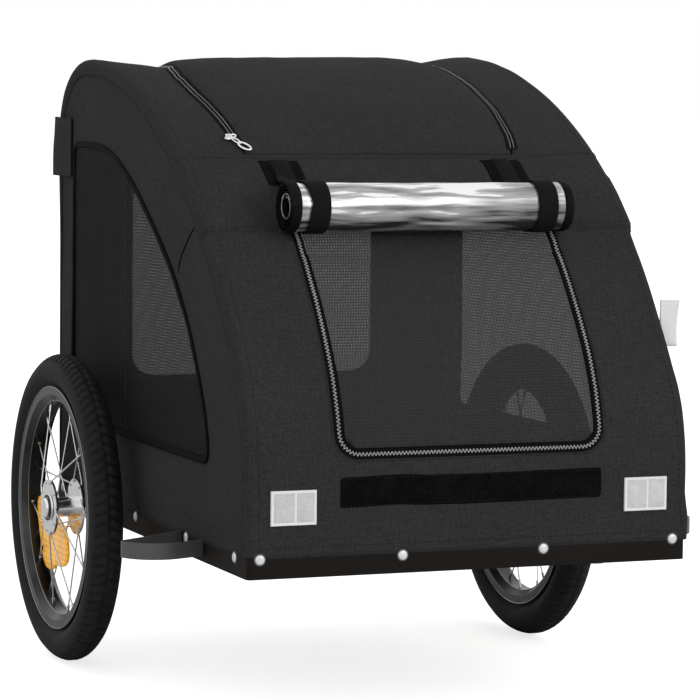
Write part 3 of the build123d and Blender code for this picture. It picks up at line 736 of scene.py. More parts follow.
def skin(across, s, lift=0.0):
    # point on the cover: flat across, quarter arcs down both sides, then along the side wall
    across, s, lift = np.broadcast_arrays(np.asarray(across, float), s, lift)
    y, z, normalY, normalZ = outlineAt(s)
    side, over = np.sign(across), np.abs(across) - flatHalf
    turn = np.clip(over / coverShape["edge"], 0, math.pi / 2)
    down = np.maximum(np.abs(across) - acrossEdge, 0)
    x = np.where(over > 0, side * (flatHalf + coverShape["edge"] * np.sin(turn)), across)
    x = x + leanAt(across, s)
    x = x + np.where(across > 0, flare(z, y) * fade(across, flatHalf - 0.08, flatHalf), 0.0)
    inset = coverShape["edge"] * (1 - np.cos(turn)) + down
    stand = lift + swell(across, s) * np.cos(turn)
    level = stand * np.cos(turn) - inset
    return np.stack([x + side * stand * np.sin(turn), y + normalY * level, z + normalZ * level], -1)


def laid(flat, lift=0.0):
    # flat (across, running length) pairs laid on the cover
    flat = np.asarray(flat, float)
    return skin(flat[..., 0], flat[..., 1], lift)


def skinNormal(flat):
    # direction off the cloth at flat pairs, from a point a millimetre higher
    return unit(laid(flat, 0.001) - laid(flat))


def roundedBox(across, s, box):
    # signed distance to a rectangle with rounded corners, below zero inside
    middle, half, radius = box
    a = np.abs(across - middle[0]) - half[0] + radius
    b = np.abs(s - middle[1]) - half[1] + radius
    outside = np.hypot(np.maximum(a, 0), np.maximum(b, 0))
    return outside + np.minimum(np.maximum(a, b), 0) - radius


def openBox(halfAcross, low, high, radius):
    # opening as its middle, its half sizes and its corner radius
    return ((0.0, (low + high) / 2), (halfAcross, (high - low) / 2), radius)


def topSquared(box, radius):
    # same opening with its upper end run on by its corner radius, so that only the lower corners are round
    (middleA, middleS), (halfA, halfS), _ = box
    return (middleA, middleS + radius / 2), (halfA, halfS + radius / 2), radius


def cutGrid(across, s, holes=(), within=()):
    # points near a box's edge are drawn on to it, then cells in a hole or outside the within boxes go
    across, s = np.meshgrid(across, s, indexing="ij")
    reach = max(np.diff(across[:, 0]).max(), np.diff(s[0]).max()) * 0.56
    boxes = [(box, 1.0) for box in holes] + [(box, -1.0) for box in within]

    def clear(a, b, least):
        # true where a point is on the wanted side of every box
        return np.all([sign * roundedBox(a, b, box) > least for box, sign in boxes], axis=0)
    for box, sign in boxes:
        d = roundedBox(across, s, box)
        e = 1e-5
        slopeA = (roundedBox(across + e, s, box) - roundedBox(across - e, s, box)) / (2 * e)
        slopeS = (roundedBox(across, s + e, box) - roundedBox(across, s - e, box)) / (2 * e)
        near = np.abs(d) < reach
        across, s = across - np.where(near, d * slopeA, 0), s - np.where(near, d * slopeS, 0)
    good = clear(across, s, -2e-5)
    quads = gridFaces(*across.shape)
    kept = good.ravel()[quads]
    flatA, flatS = across.ravel(), s.ravel()
    whole = kept.all(1) & clear(flatA[quads].mean(1), flatS[quads].mean(1), 0.0)
    faces = [quads[whole]]
    for bad in range(4):
        lone = (~kept[:, bad]) & (kept.sum(1) == 3)
        three = quads[lone][:, [k for k in range(4) if k != bad]]
        three = three[clear(flatA[three].mean(1), flatS[three].mean(1), 0.0)]
        if len(three):
            faces.append(three)
    return across, s, faces


def ribbon(line, offsets, lifts, closed=False):
    # strip on the cover: offsets are across its travel, to the left, and lifts are off the cloth
    offsets = np.asarray(offsets)
    flat = line[:, None] + leftOf(line, closed)[:, None] * offsets[None, :, None]
    points = laid(flat, np.asarray(lifts)[None])
    uv = stacked(offsets[None], runAlong(line)[:, None])
    return points, gridFaces(*points.shape[:2], closed, False, flip=True), uv


def tapeSection(low, high, thick):
    # flat tape with rounded edges: offsets and lifts, down to the cloth at both sides
    offsets = [low, low + thick * 0.4, low + thick, high - thick, high - thick * 0.4, high]
    return offsets, [-0.0006, thick * 0.75, thick, thick, thick * 0.75, -0.0006]


stitchShape = np.array([[-1, 0, -0.2], [-0.55, 0.5, 0.6], [0.55, 0.5, 0.6], [1, 0, -0.2], [0.55, -0.5, 0.6],
                        [-0.55, -0.5, 0.6], [-0.5, 0, 1.0], [0.5, 0, 1.0]])
stitchFaces = np.array([[0, 5, 6], [0, 6, 1], [3, 2, 7], [3, 7, 4], [1, 6, 7], [1, 7, 2], [5, 4, 7],
                        [5, 7, 6]])


def stitches(line, pitch=0.0052, length=0.0017, width=0.00085, height=0.0006, lift=0.0):
    # a row of short threads along a line on the cover
    line = resample(line, pitch)
    places = laid(line, lift)
    first = unit(laid(line + slopeOf(line) * 1e-3, lift) - places)
    third = skinNormal(line)
    return stamped(stitchShape * [length, width, height], stitchFaces, places, first,
                   np.cross(third, first), third)


# front wall, roof and rear wall in one piece
wrapShape = {"step": 0.0065, "wall": 0.0013, "meshTop": 0.402, "seamLift": 0.0007, "seamWave": 0.0004}
meshTopRun = runAtHeight(wrapShape["meshTop"])
doorBox = openBox(doorHalf, doorStart, meshTopRun, openingRadius)
hatchBoxes = [openBox(hatchHalf, hatchStart, hatchStart + 0.2, 0.0),
              openBox(hatchHalf, hatchStart + 0.1, hatchEnd, openingRadius)]


def makeWrap(shape):
    # even grid with closer rows round both edge arcs, the door and the hatch cut out, side seams lifted
    edgeTurns = flatHalf + coverShape["edge"] * np.linspace(0, math.pi / 2, 7)[1:]
    side = np.concatenate([edgeTurns, [acrossEdge + coverShape["seam"] / 2, acrossEnd]])
    across = np.concatenate([-side[::-1], evenly(-flatHalf, flatHalf, shape["step"]), side])
    run = evenly(0.0, outlineLength, shape["step"])
    across, s, faces = cutGrid(across, run, [topSquared(doorBox, openingRadius), *hatchBoxes])
    seam = shape["seamLift"] + shape["seamWave"] * softNoise(across, s, 0.02, 2)
    lift = np.where(np.abs(across) > acrossEdge, seam, 0.0)
    piece = makePiece("cover_wrap", skin(across, s, lift), faces, cloth, slot="cover_fabric",
                      uv=stacked(across, s), replaced=["cover_front", "cover_rear"], thick=shape["wall"])
    2 * acrossEnd
    flatArea(across, s, faces)


makeWrap(wrapShape)

# side walls and their windows
windowLow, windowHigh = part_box("window_mesh_left")
windowShape = {"inset": 0.124, "lowInset": 0.015, "head": 0.012, "sill": 0.0045, "corner": 0.016,
               "step": 0.0045, "centre": (0.47, 0.25), "rays": 420, "rows": 15, "hemEnd": 0.012,
               "hemInset": 0.0022, "hemWall": 0.0009, "hemStand": 0.0007, "sink": 0.0004}
sideCloth = {"full": 0.0048, "fullHeight": 0.062, "fullWidth": 0.040, "fullWave": 0.25, "waveCell": 0.16,
             "drape": 0.0011, "drapeCell": 0.12, "crumple": 0.0006, "crumpleCell": 0.035, "hemFade": 0.03}
netShape = {"grow": 0.004, "step": 0.008, "rows": 36, "inset": 0.0012, "sag": 0.0022, "ripple": 0.0012}
bindShape = {"width": 0.0080, "thick": 0.0022, "inner": -0.22, "under": 0.0012, "wall": 0.0008,
             "rows": (0.3, 0.85), "pitch": 0.0048, "stitch": (0.0016, 0.0007, 0.0005), "sink": 0.0003}


def softened(corner, before, after, cut):
    # corner of a drawn line replaced by a curve that leaves one line and meets the other
    start = corner + unit(before - corner) * cut
    end = corner + unit(after - corner) * cut
    t = np.linspace(0, 1, 9)[:, None]
    return (1 - t) ** 2 * start + 2 * t * (1 - t) * corner + t ** 2 * end


def windowCurve(shape):
    # the outline's front arcs moved in, further towards the sill, a level head, the rear edge and the sill,
    # with soft corners
    sill, head = windowLow.z + shape["sill"], windowHigh.z + shape["head"]
    y, z, normalY, normalZ = outlineAt(np.linspace(0, segmentStarts[4] + 0.02, 600))
    inset = shape["inset"] - shape["head"] * fade(z, 0.50, bodyTop)
    arc = np.stack([y - normalY * inset, z - normalZ * inset], -1)
    arc[:, 0] += shape["lowInset"] * (1 - fade(arc[:, 1], sill + 0.03, 0.33))
    arc = arc[(arc[:, 1] > sill) & (arc[:, 1] < head - 0.0004)]
    front = np.array([np.interp(sill, arc[:2, 1], arc[:2, 0]), sill])
    top, bottom = np.array([windowHigh.y, head]), np.array([windowHigh.y, sill])
    cut = shape["corner"]
    line = arc[np.linalg.norm(arc - front, axis=1) > cut]
    parts = [softened(front, bottom, line[0], cut), line, softened(top, line[-1], bottom, cut),
             softened(bottom, top, front, cut)]
    return resample(np.concatenate(parts), shape["step"], closed=True)


windowLine = windowCurve(windowShape)


def polar(curve, centre, angle):
    # radius of a closed curve about a centre, read at these angles
    gap = curve - centre
    turn = np.arctan2(gap[:, 1], gap[:, 0])
    order = np.argsort(turn)
    return np.interp(angle, turn[order], np.linalg.norm(gap, axis=1)[order], period=math.tau)


def sideSwell(y, z):
    # side cloth: low drape, small crumples and a fuller hem above the tray
    shape = sideCloth
    wave = 1 - shape["fullWave"] + shape["fullWave"] * softNoise(y, z, shape["waveCell"], 31)
    full = bell(z - shape["fullHeight"], shape["fullWidth"]) * wave * shape["full"]
    drape = softNoise(y, z, shape["drapeCell"], 21) * shape["drape"]
    crumple = softNoise(y, z, shape["crumpleCell"], 22) * shape["crumple"]
    return (full + drape + crumple) * fade(z, coverLow, coverLow + shape["hemFade"])


def sidePoint(side, y, z, lift=0.0):
    # point on a side wall; the left one also stands out at its front corner
    corner = flare(z, y) if side > 0 else 0.0
    return stacked(side * (halfWidth + lift + sideSwell(y, z) + corner), y, z)


def makeSide(name, side, shape):
    # rays from the window's middle, each in even steps from the window's edge to the wall's outline
    centre, inset = np.array(shape["centre"]), coverShape["edge"]
    y, z, normalY, normalZ = outlineAt(np.linspace(0, outlineLength, 2400))
    wall = np.stack([y - normalY * inset, z - normalZ * inset], -1)
    base = stacked(np.linspace(bodyLength - inset, inset, 400), coverLow)
    corners = np.arctan2(coverLow - centre[1], np.array([inset, bodyLength - inset]) - centre[0])
    angle = np.linspace(-math.pi, math.pi, shape["rays"], endpoint=False)
    angle = np.sort(np.concatenate([angle, corners]))
    inner = polar(windowLine, centre, angle)[:, None]
    outer = polar(np.concatenate([wall, base[1:-1]]), centre, angle)[:, None]
    share = np.linspace(0, 1, shape["rows"])[None]
    radius = inner * (1 - share) + outer * share
    y, z = centre[0] + radius * np.cos(angle)[:, None], centre[1] + radius * np.sin(angle)[:, None]
    edge = fade(1 - share, 0, 0.25) * fade(share, 0, 0.2)
    points = sidePoint(side, y, z, -sideSwell(y, z) * (1 - edge) - shape["sink"])
    faces = gridFaces(*y.shape, True, False, flip=side > 0)
    piece = makePiece(f"cover_side_{name}_cloth", points, faces, cloth, slot="cover_fabric",
                      uv=stacked(y, z), replaced=[f"cover_side_{name}"], thick=wrapShape["wall"])
    flatArea(y, z, faces)
    # hem turned in under the wall, as far as the tray
    y = np.linspace(shape["hemEnd"], bodyLength - shape["hemEnd"], 60)
    outer = sidePoint(side, y, coverLow + shape["hemStand"])
    inner = stacked(side * (halfWidth - shape["hemInset"]), outer[:, 1], outer[:, 2])
    makePiece(f"cover_side_{name}_hem", np.stack([outer, inner], 1), gridFaces(len(y), 2, flip=side > 0),
              cloth, slot="cover_fabric", thick=shape["hemWall"], offset=0.0)


def netArea(curve):
    # area inside a closed curve, by the sum of cross products
    after = np.roll(curve, -1, 0)
    return abs(float((curve[:, 0] * after[:, 1] - after[:, 0] * curve[:, 1]).sum())) / 2


def makeSideNet(name, side, shape):
    # columns of net between the window's lower and upper edges, slack towards the middle
    grown = windowLine + unit(windowLine - windowLine.mean(0)) * shape["grow"]
    rolled = np.roll(grown, -int(np.argmin(grown[:, 0])), 0)
    far = int(np.argmax(rolled[:, 0]))
    upper, lower = rolled[: far + 1], rolled[far:][::-1]
    if upper[:, 1].mean() < lower[:, 1].mean():
        upper, lower = lower, upper
    y = evenly(grown[:, 0].min() + 1e-5, grown[:, 0].max() - 1e-5, shape["step"])[:, None]
    high = np.interp(y, *upper[np.argsort(upper[:, 0])].T)
    low = np.interp(y, *lower[np.argsort(lower[:, 0])].T)
    share = np.linspace(0, 1, shape["rows"])[None]
    z = low * (1 - share) + high * share
    slack = np.sin(np.linspace(0, math.pi, len(y)))[:, None] * np.sin(share * math.pi)
    ripple = softNoise(y + 0 * z, z, 0.09, 40) * shape["ripple"] * slack
    points = stacked(side * (halfWidth - shape["inset"] - shape["sag"] * slack + ripple), y, z)
    piece = makePiece(f"side_net_{name}", points, gridFaces(*z.shape, flip=side < 0), net, slot="black_mesh",
                      uv=points[..., 1:], replaced=[f"window_mesh_{name}"])
    netArea(grown)


def makeSideBinding(name, side, shape):
    # folded tape round the window's edge, rounded across, with two rows of stitches
    width, thick = shape["width"], shape["thick"]
    out = -leftOf(windowLine, True)
    if ((windowLine - windowLine.mean(0)) * out).sum() < 0:
        out = -out
    share = np.linspace(shape["inner"], 1, 9)
    bow = np.clip(1 - np.abs(np.linspace(-1, 1, 9)) ** 4, 0, 1)
    flat = windowLine[:, None] + out[:, None] * (share * width)[None, :, None]
    lift = (thick + shape["under"]) * bow[None] - shape["under"]
    points = sidePoint(side, flat[..., 0], flat[..., 1], lift)
    uv = stacked((share * width)[None], (np.arange(len(windowLine)) * windowShape["step"])[:, None])
    flip = np.cross(points[0, 4] - points[0, 3], points[1, 3] - points[0, 3])[0] * side > 0
    makePiece(f"window_binding_{name}_tape", points, gridFaces(*points.shape[:2], True, flip=bool(flip)),
              binding, uv=uv, replaced=[f"window_binding_{name}"], thick=shape["wall"])
    rows = []
    for offset in shape["rows"]:
        line = resample(windowLine + out * width * offset, shape["pitch"], closed=True)
        first = np.pad(slopeOf(line, True), ((0, 0), (1, 0)))
        third = np.tile([float(side), 0, 0], (len(line), 1))
        places = sidePoint(side, *line.T, thick - shape["sink"])
        rows.append(stamped(stitchShape * shape["stitch"], stitchFaces, places, first,
                            np.cross(third, first), third))
    makePiece(f"window_stitches_{name}", *joined(rows), thread)


for name, side in sides.items():
    makeSide(name, side, windowShape)
    makeSideNet(name, side, netShape)
    makeSideBinding(name, side, bindShape)
print("cover walls and side windows made")


# front door: net inside a zip that runs down, across and up
zipShape = {"tape": 0.0062, "tapeThick": 0.0007, "coil": 0.0021, "wire": 0.00068, "pitch": 0.0046,
            "doorTop": 0.398, "rim": 0.0012, "step": 0.0034, "doorStep": 0.0012, "belowFold": 0.0020,
            "aboveFold": 0.0032, "beside": 0.0022, "rimLap": 0.001, "rimThick": 0.0010, "railLift": 0.0004}
slackShape = {"step": 0.009, "door": 0.004, "rear": 0.004, "ripple": 0.0012}


def zipPath(starts, half, low, radius, step, fall=1):
    # down one side from the first start, across the low end and up the other, with quarter arcs at its
    # corners
    turn = np.linspace(0, math.pi / 2, 14)
    left = np.stack([-half + radius - radius * np.cos(turn), low + fall * radius * (1 - np.sin(turn))], -1)
    return resample(np.concatenate([starts[:1], left, left[::-1] * [-1, 1], starts[1:]]), step)


def coilOn(line, shape, lift):
    # one wire that crosses the zip's line as a triangle wave, made of its first three sines
    line = resample(line, shape["pitch"] / 14)
    phase = np.arange(len(line)) * math.pi / 7
    wave = (np.sin(phase) - np.sin(3 * phase) / 9 + np.sin(5 * phase) / 25) / 1.15
    flat = line + leftOf(line) * (shape["coil"] * wave)[:, None]
    radius = tapered(len(line), shape["wire"])
    return tubeAlong(laid(flat, lift + shape["wire"] * 0.7), skinNormal(flat), radius)


def railsOn(line, shape, lift):
    # two cords, one on each side of a closed zip
    flats = [line + leftOf(line) * side * shape["rail"] for side in (-1, 1)]
    radius = tapered(len(line), shape["cord"])
    lift = lift + shape["railLift"]
    return joined([tubeAlong(laid(flat, lift), skinNormal(flat), radius, sides=5) for flat in flats])


def makeZip(name, line, body, finish, tapeSide, shape):
    # the tape's two halves ride on the two bodies that it joins; the coil rides with the moving one
    thick = shape["tapeThick"]
    for part, rides, sign in (("inner", body, tapeSide), ("outer", "chassis", -tapeSide)):
        low, high = sorted((sign * 0.0002, sign * shape["tape"]))
        points, faces, uv = ribbon(line, *tapeSection(low, high, thick))
        makePiece(f"{name}_tape_{part}", points, faces, zipTape, rides, uv=uv)
    coil = railsOn if "rail" in shape else coilOn
    makePiece(f"{name}_coil", *coil(line, shape, thick), finish, body, "spoke_steel")


doorTopRun = runAtHeight(zipShape["doorTop"])
doorTops = [[-doorHalf, doorTopRun], [doorHalf, doorTopRun]]
doorZip = zipPath(doorTops, doorHalf, doorStart, openingRadius, zipShape["step"])
doorZip = resample(doorZip, zipShape["doorStep"])


def slackNet(name, across, s, faces, depth, under, start, end, seed, finish, body, replaced):
    # net on the cover's own surface, slack in its middle: a cosine across and a sine along
    half = across.max()
    slack = np.cos(across / half * math.pi / 2) * np.sin(math.pi * np.clip((s - start) / (end - start), 0, 1))
    ripple = slackShape["ripple"] * slack * softNoise(across, s, 0.07, seed)
    return makePiece(name, skin(across, s, ripple - under - depth * slack), faces, finish, body, "black_mesh",
                     uv=stacked(across, s), replaced=replaced)


def makeDoorNet(name, low, high, body, replaced):
    # net between two running lengths; the piece that stands for the CAD net has round lower corners
    half, step = doorHalf - 0.003, slackShape["step"]
    across, run = evenly(-half, half, step), evenly(low, high, step)
    within = [topSquared(openBox(half, low, high, openingRadius), openingRadius)] if replaced else []
    if within:
        across, s, faces = cutGrid(across, run, within=within)
    else:
        across, s = np.meshgrid(across, run, indexing="ij")
        faces = gridFaces(*across.shape)
    piece = slackNet(name, across, s, faces, slackShape["door"], 0.0006, doorStart, meshTopRun, 60,
                     doorNetFinish, body, replaced)
    2 * half
    2 * half * (high - low) * (0.985 if replaced else 1.0)


makeDoorNet("door_net", doorStart + 0.003, doorHinge, "front_door", ["front_door_mesh"])
makeDoorNet("door_net_head", doorHinge + 0.0001, meshTopRun + 0.003, "chassis", [])


def makeDoor(shape):
    # the zip below the hinge belongs to the door, and the short ends above it to the cover
    tape, thick = shape["tape"], shape["tapeThick"]
    line = doorZip[doorZip[:, 1] <= doorHinge - shape["belowFold"]]
    above = doorZip[doorZip[:, 1] > doorHinge - shape["aboveFold"]]
    makeZip("front_zip", line, "front_door", coilFinish, 1, shape)
    for name, side in sides.items():
        part = above[above[:, 0] * side > 0]
        points, faces, uv = ribbon(part, *tapeSection(-tape, tape, thick))
        makePiece(f"front_zip_end_{name}", points, faces, zipTape, uv=uv)
        makePiece(f"front_zip_end_coil_{name}", *coilOn(part, shape, thick), coilFinish, slot="spoke_steel")
    beside = line - leftOf(line) * (tape + shape["beside"])
    makePiece("front_zip_stitches", *stitches(beside, pitch=0.0036, length=0.0011, width=0.0009), binding)
    section = tapeSection(tape - shape["rimLap"], tape + shape["rim"], shape["rimThick"])
    points, faces, uv = ribbon(resample(line, 0.004), *section)
    makePiece("door_rim_tape", points, faces, binding, "front_door", uv=uv, replaced=["front_door"])


makeDoor(zipShape)
print("front door made")

# roof flap and rear flap
flapShape = {"step": 0.0065, "zipStart": {-1: 0.300, 1: 0.283}, "windowRadius": 0.032, "windowInset": 0.0075,
             "foldGap": 0.0007, "netGrow": 0.003, "netRise": 0.004, "railGap": 0.0023, "cord": 0.0007,
             "tape": 0.0080, "bind": (-0.0062, 0.0018, 0.0016), "bindStep": 0.0045, "stitchStep": 0.005,
             "stitchLift": 0.0014}
rearNetLow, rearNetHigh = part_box("rear_flap_mesh")
rearHeadRun, rearSillRun = runAtBack(rearNetHigh.z), runAtBack(rearNetLow.z)


def rearOpening(grow=0.0, rise=0.0):
    # the rear window's opening, grown sideways and along by these lengths, and its corners with it
    half = flapHalf - flapShape["windowInset"] + grow
    return openBox(half, rearHeadRun - rise, rearSillRun + rise, flapShape["windowRadius"] + rise)


def makeFlaps(shape):
    # both flaps are even grids; the rear one is cut to its own outline and round its window
    low, high = hatchStart + shape["foldGap"], hatchHinge - shape["foldGap"]
    columns = evenly(-flapHalf, flapHalf, shape["step"])
    across, s = np.meshgrid(columns, evenly(low, high, shape["step"]), indexing="ij")
    piece = makePiece("roof_flap_cloth", skin(across, s), gridFaces(*across.shape), cloth, "roof_flap",
                      "cover_fabric", uv=stacked(across, s), replaced=["roof_flap"], thick=wrapShape["wall"])
    2 * flapHalf
    end = hatchEnd - halfGap
    outer = openBox(flapHalf, hatchHinge - 0.1, end, openingRadius - halfGap)
    across, s, faces = cutGrid(columns, evenly(hatchHinge, end, shape["step"]), [rearOpening()], [outer])
    piece = makePiece("rear_flap_cloth", skin(across, s), faces, cloth, "rear_flap", "cover_fabric",
                      uv=stacked(across, s), replaced=["rear_flap"], thick=wrapShape["wall"])
    2 * flapHalf
    end - hatchHinge
    flatArea(across, s, faces)


def loopOf(box, step):
    # closed line round a rounded box, from its straight sides and quarter arcs
    (middleA, middleS), (halfA, halfS), radius = box
    parts = []
    for quarter, (signA, signS) in enumerate(((1, 1), (-1, 1), (-1, -1), (1, -1))):
        angle = np.linspace(0, math.pi / 2, 10) + quarter * math.pi / 2
        parts.append(np.stack([middleA + signA * (halfA - radius) + radius * np.cos(angle),
                               middleS + signS * (halfS - radius) + radius * np.sin(angle)], -1))
    return resample(np.concatenate(parts), step, closed=True)


def makeRearWindow(shape):
    # slack net, a bound edge round the opening and a row of stitches outside it
    rise, step = shape["netRise"], slackShape["step"]
    half = rearOpening(shape["netGrow"])[1][0]
    run = evenly(rearHeadRun - rise, rearSillRun + rise, step)
    across, s, faces = cutGrid(evenly(-half, half, step), run, within=[rearOpening(shape["netGrow"], rise)])
    piece = slackNet("rear_net", across, s, faces, slackShape["rear"], 0.001, rearHeadRun, rearSillRun, 61,
                     net, "rear_flap", ["rear_flap_mesh"])
    size = (2 * half, rearSillRun - rearHeadRun + 2 * rise)
    size[0] * size[1] - (4 - math.pi) * (shape["windowRadius"] + rise) ** 2
    line = loopOf(rearOpening(), shape["bindStep"])
    points, faces, uv = ribbon(line, *tapeSection(*shape["bind"]), closed=True)
    makePiece("rear_window_tape", points, faces, binding, "rear_flap", uv=uv)
    outside = loopOf(rearOpening(rise, rise), shape["stitchStep"])
    makePiece("rear_window_stitches", *stitches(outside, lift=shape["stitchLift"]), thread, "rear_flap")


def makeRoofZips(shape):
    # roof part rides on the roof flap, the rest on the rear flap; both join the cover outside
    starts = [[side * hatchHalf, runAtDepth(shape["zipStart"][side])] for side in (-1, 1)]
    line = zipPath(starts, hatchHalf, hatchEnd, openingRadius, zipShape["step"], fall=-1)
    small = dict(zipShape, rail=shape["railGap"], cord=shape["cord"], tape=shape["tape"])
    onRoof = line[:, 1] < hatchHinge
    for name, side in sides.items():
        makeZip(f"roof_zip_{name}", line[onRoof & (line[:, 0] * side > 0)], "roof_flap", greyCoil, -1, small)
    makeZip("rear_zip", line[~onRoof], "rear_flap", greyCoil, -1, small)


def pillow(middle, half, axes, power=0.45, rows=9, columns=14):
    # rounded block: sphere whose sines and cosines are raised to a small power
    def blunt(values):
        # power of the size with the sign kept
        return np.sign(values) * np.abs(values) ** power
    tilt = np.linspace(-math.pi / 2, math.pi / 2, rows)[:, None]
    turn = ringAngles(columns)[None]
    local = stacked(half[0] * blunt(np.cos(tilt)) * blunt(np.cos(turn)),
                    half[1] * blunt(np.cos(tilt)) * blunt(np.sin(turn)), half[2] * blunt(np.sin(tilt)))
    return middle + local @ axes, gridFaces(rows, columns, False, True)


# a slider's blocks are (height, half sizes); a pull's loops leave the zip at a lift and dip with distance
sliderShape = {"blocks": ((0.0022, (0.0062, 0.0044, 0.0020)), (0.0046, (0.0036, 0.0011, 0.0012))),
               "lift": 0.0036, "dip": 0.04, "bar": (0.0022, 0.0009), "barLift": 0.0035}


def makeSlider(name, flat, heading, body, loops, shape):
    # slider body on the zip, with a pull of wire loops lying on the cloth towards its heading;
    # a loop is its distance out, half its length and width, and its wire
    flat = np.array(flat)
    place, third = laid(flat), skinNormal(flat)

    def axesFor(way):
        # along the cloth, across it, and off it
        ahead = laid(flat + np.array(way) * 1e-3) - place
        first = unit(ahead - third * (ahead @ third))
        return np.stack([first, np.cross(third, first), third])
    along, pull = axesFor((0.0, -1.0)), axesFor(heading)
    parts = [pillow(place + third * height, half, along) for height, half in shape["blocks"]]
    t = ringAngles(40)
    for middle, long, wide, wire in loops:
        loop = stacked(middle + long * np.cos(t), wide * np.sin(t), shape["lift"] - shape["dip"] * middle)
        parts.append(tubeAlong(place + loop @ pull, np.tile(third, (len(t), 1)), wire, closed=True))
    makePiece(name, *joined(parts), pullMetal, body, "spoke_steel")


def pullBar(name, low, high, s, shape):
    # flat pull that hangs across the zip's top end
    third = skinNormal([0.0, s])
    axes = np.stack([[1.0, 0, 0], np.cross(third, [1.0, 0, 0]), third])
    middle = laid([(low + high) / 2, s], shape["barLift"])
    makePiece(name, *pillow(middle, ((high - low) / 2, *shape["bar"]), axes, power=0.3), pullMetal,
              slot="spoke_steel")


makeFlaps(flapShape)
makeRearWindow(flapShape)
makeRoofZips(flapShape)
pulls = {"long": [(0.0020, 0.0034, 0.0088, 0.0014), (0.0118, 0.0068, 0.0030, 0.0013),
                  (0.0260, 0.0098, 0.0056, 0.0017)],
         "short": [(0.0080, 0.0045, 0.0028, 0.0009), (0.0150, 0.0048, 0.0026, 0.0009)],
         "bars": (("left", 0.151, 0.168), ("right", -0.179, -0.163))}
makeSlider("roof_pull_right", (-0.1975, runAtDepth(flapShape["zipStart"][-1]) + 0.0055), (0.46, -0.89),
           "roof_flap", pulls["long"], sliderShape)
makeSlider("rear_pull_left", (0.03, hatchEnd - 0.0028), (0.1, 0.99), "rear_flap", pulls["short"], sliderShape)
for name, low, high in pulls["bars"]:
    pullBar(f"door_pull_{name}", low, high, doorTopRun + 0.001, sliderShape)
print("roof flap, rear flap and zips made")

# rolled rain cover and its straps
rollLow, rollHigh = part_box("rain_cover_roll")
rollShape = {"filmHalf": 0.1755, "columns": 150, "around": 96, "dent": 0.0009, "dentCell": 0.011,
             "lap": 0.0011, "lapTurn": 4.0, "bandThick": 0.0009, "turns": 5.5, "spiralIn": 0.006,
             "spiralSteps": 360, "spiralWall": 0.0013, "layers": (70, 150), "layerWall": 0.0012,
             "filmEnd": 0.002, "filmInset": 0.0006, "dentStretch": 0.22, "calmFrom": 0.014, "calmTo": 0.004,
             "calm": 0.8, "lapWave": 0.12, "lapCell": 0.09, "bandLap": 0.001, "bandLip": 0.0035,
             "band": (-1.2, 0.6, 1, 1, 1, 0.6, -0.8), "spiralOut": 0.0028, "spiralTurn": 0.8,
             "spiralDepths": (0.0, 0.0006, 0.010), "middleDepth": 0.004}
rollRadius, rollHalf = (rollHigh.z - rollLow.z) / 2, (rollHigh.x - rollLow.x) / 2
rollMiddle = middleOf("rain_cover_roll")


def makeRoll(shape):
    # film: cylinder dented along its length, with the free edge's lap as one step round it
    filmHalf = shape["filmHalf"]
    reach = filmHalf + shape["filmEnd"]
    x = np.linspace(-reach, reach, shape["columns"])[:, None]
    angle = ringAngles(shape["around"])[None]
    c, s = np.cos(angle), np.sin(angle)
    dents = sum(softNoise(x * shape["dentStretch"] + shift, way * rollRadius, shape["dentCell"], seed)
                for shift, way, seed in ((7, c, 71), (3, s, 72)))
    bands = fade(np.abs(x), filmHalf - shape["calmFrom"], filmHalf - shape["calmTo"]) * shape["calm"]
    bands = 1 - bands
    wave = shape["lapWave"] * softNoise(x, 0 * x, shape["lapCell"], 73)
    lap = np.mod(angle - shape["lapTurn"] - wave, math.tau) / math.tau
    dented = shape["dent"] * (0.5 + 0.5 * dents) * bands
    radius = rollRadius - shape["filmInset"] - dented - shape["lap"] * lap
    points = stacked(x, radius * c, radius * s) + rollMiddle
    uv = stacked(x, np.minimum(angle, math.tau - angle) * rollRadius)
    makePiece("rain_roll_film", points, gridFaces(*points.shape[:2], False, True), film, slot="clear_film",
              uv=uv, replaced=["rain_cover_roll"])
    for name, side in sides.items():
        makeRollEnd(name, side, shape)


def makeRollEnd(name, side, shape):
    # band round the end, and in the end black cloth in a spiral, deeper towards the middle, with a film layer
    # whose painted highlights show as glints
    bandX = side * np.linspace(shape["filmHalf"] - shape["bandLap"], rollHalf, len(shape["band"]))
    out = np.append(rollRadius + shape["bandThick"] * np.array(shape["band"]), rollRadius - shape["bandLip"])
    profile = stacked(np.append(bandX, bandX[-1] - side * 0.0004), out)
    points, faces = turned(profile, 80, rollMiddle)
    makePiece(f"roll_band_{name}", points, faces[:, ::-1] if side < 0 else faces, blackBand)
    t = np.linspace(0, 1, shape["spiralSteps"])[:, None]
    radius = shape["spiralIn"] + (rollRadius - shape["spiralOut"] - shape["spiralIn"]) * t
    turn = t * shape["turns"] * math.tau + shape["spiralTurn"]
    deep = np.array(shape["spiralDepths"])[None] + shape["middleDepth"] * (1 - t) ** 2

    def spiral(out, wide):
        # the spiral moved out along the roll and widened about its line
        return stacked(side * (rollHalf + out - deep), (radius + wide) * np.cos(turn),
                       (radius + wide) * np.sin(turn)) + rollMiddle
    makePiece(f"roll_spiral_{name}", spiral(-0.0004, 0.0), gridFaces(len(t), 3, flip=side > 0), blackBand,
              thick=shape["spiralWall"], offset=0.0)
    # film layers in the end, where the film's painted highlights show as glints
    layer = spiral(0.0004, 0.0014)[slice(*shape["layers"])]
    makePiece(f"roll_layers_{name}", layer, gridFaces(*layer.shape[:2], flip=side > 0), film,
              slot="clear_film", uv=layer[..., :2], thick=shape["layerWall"], offset=0.0)


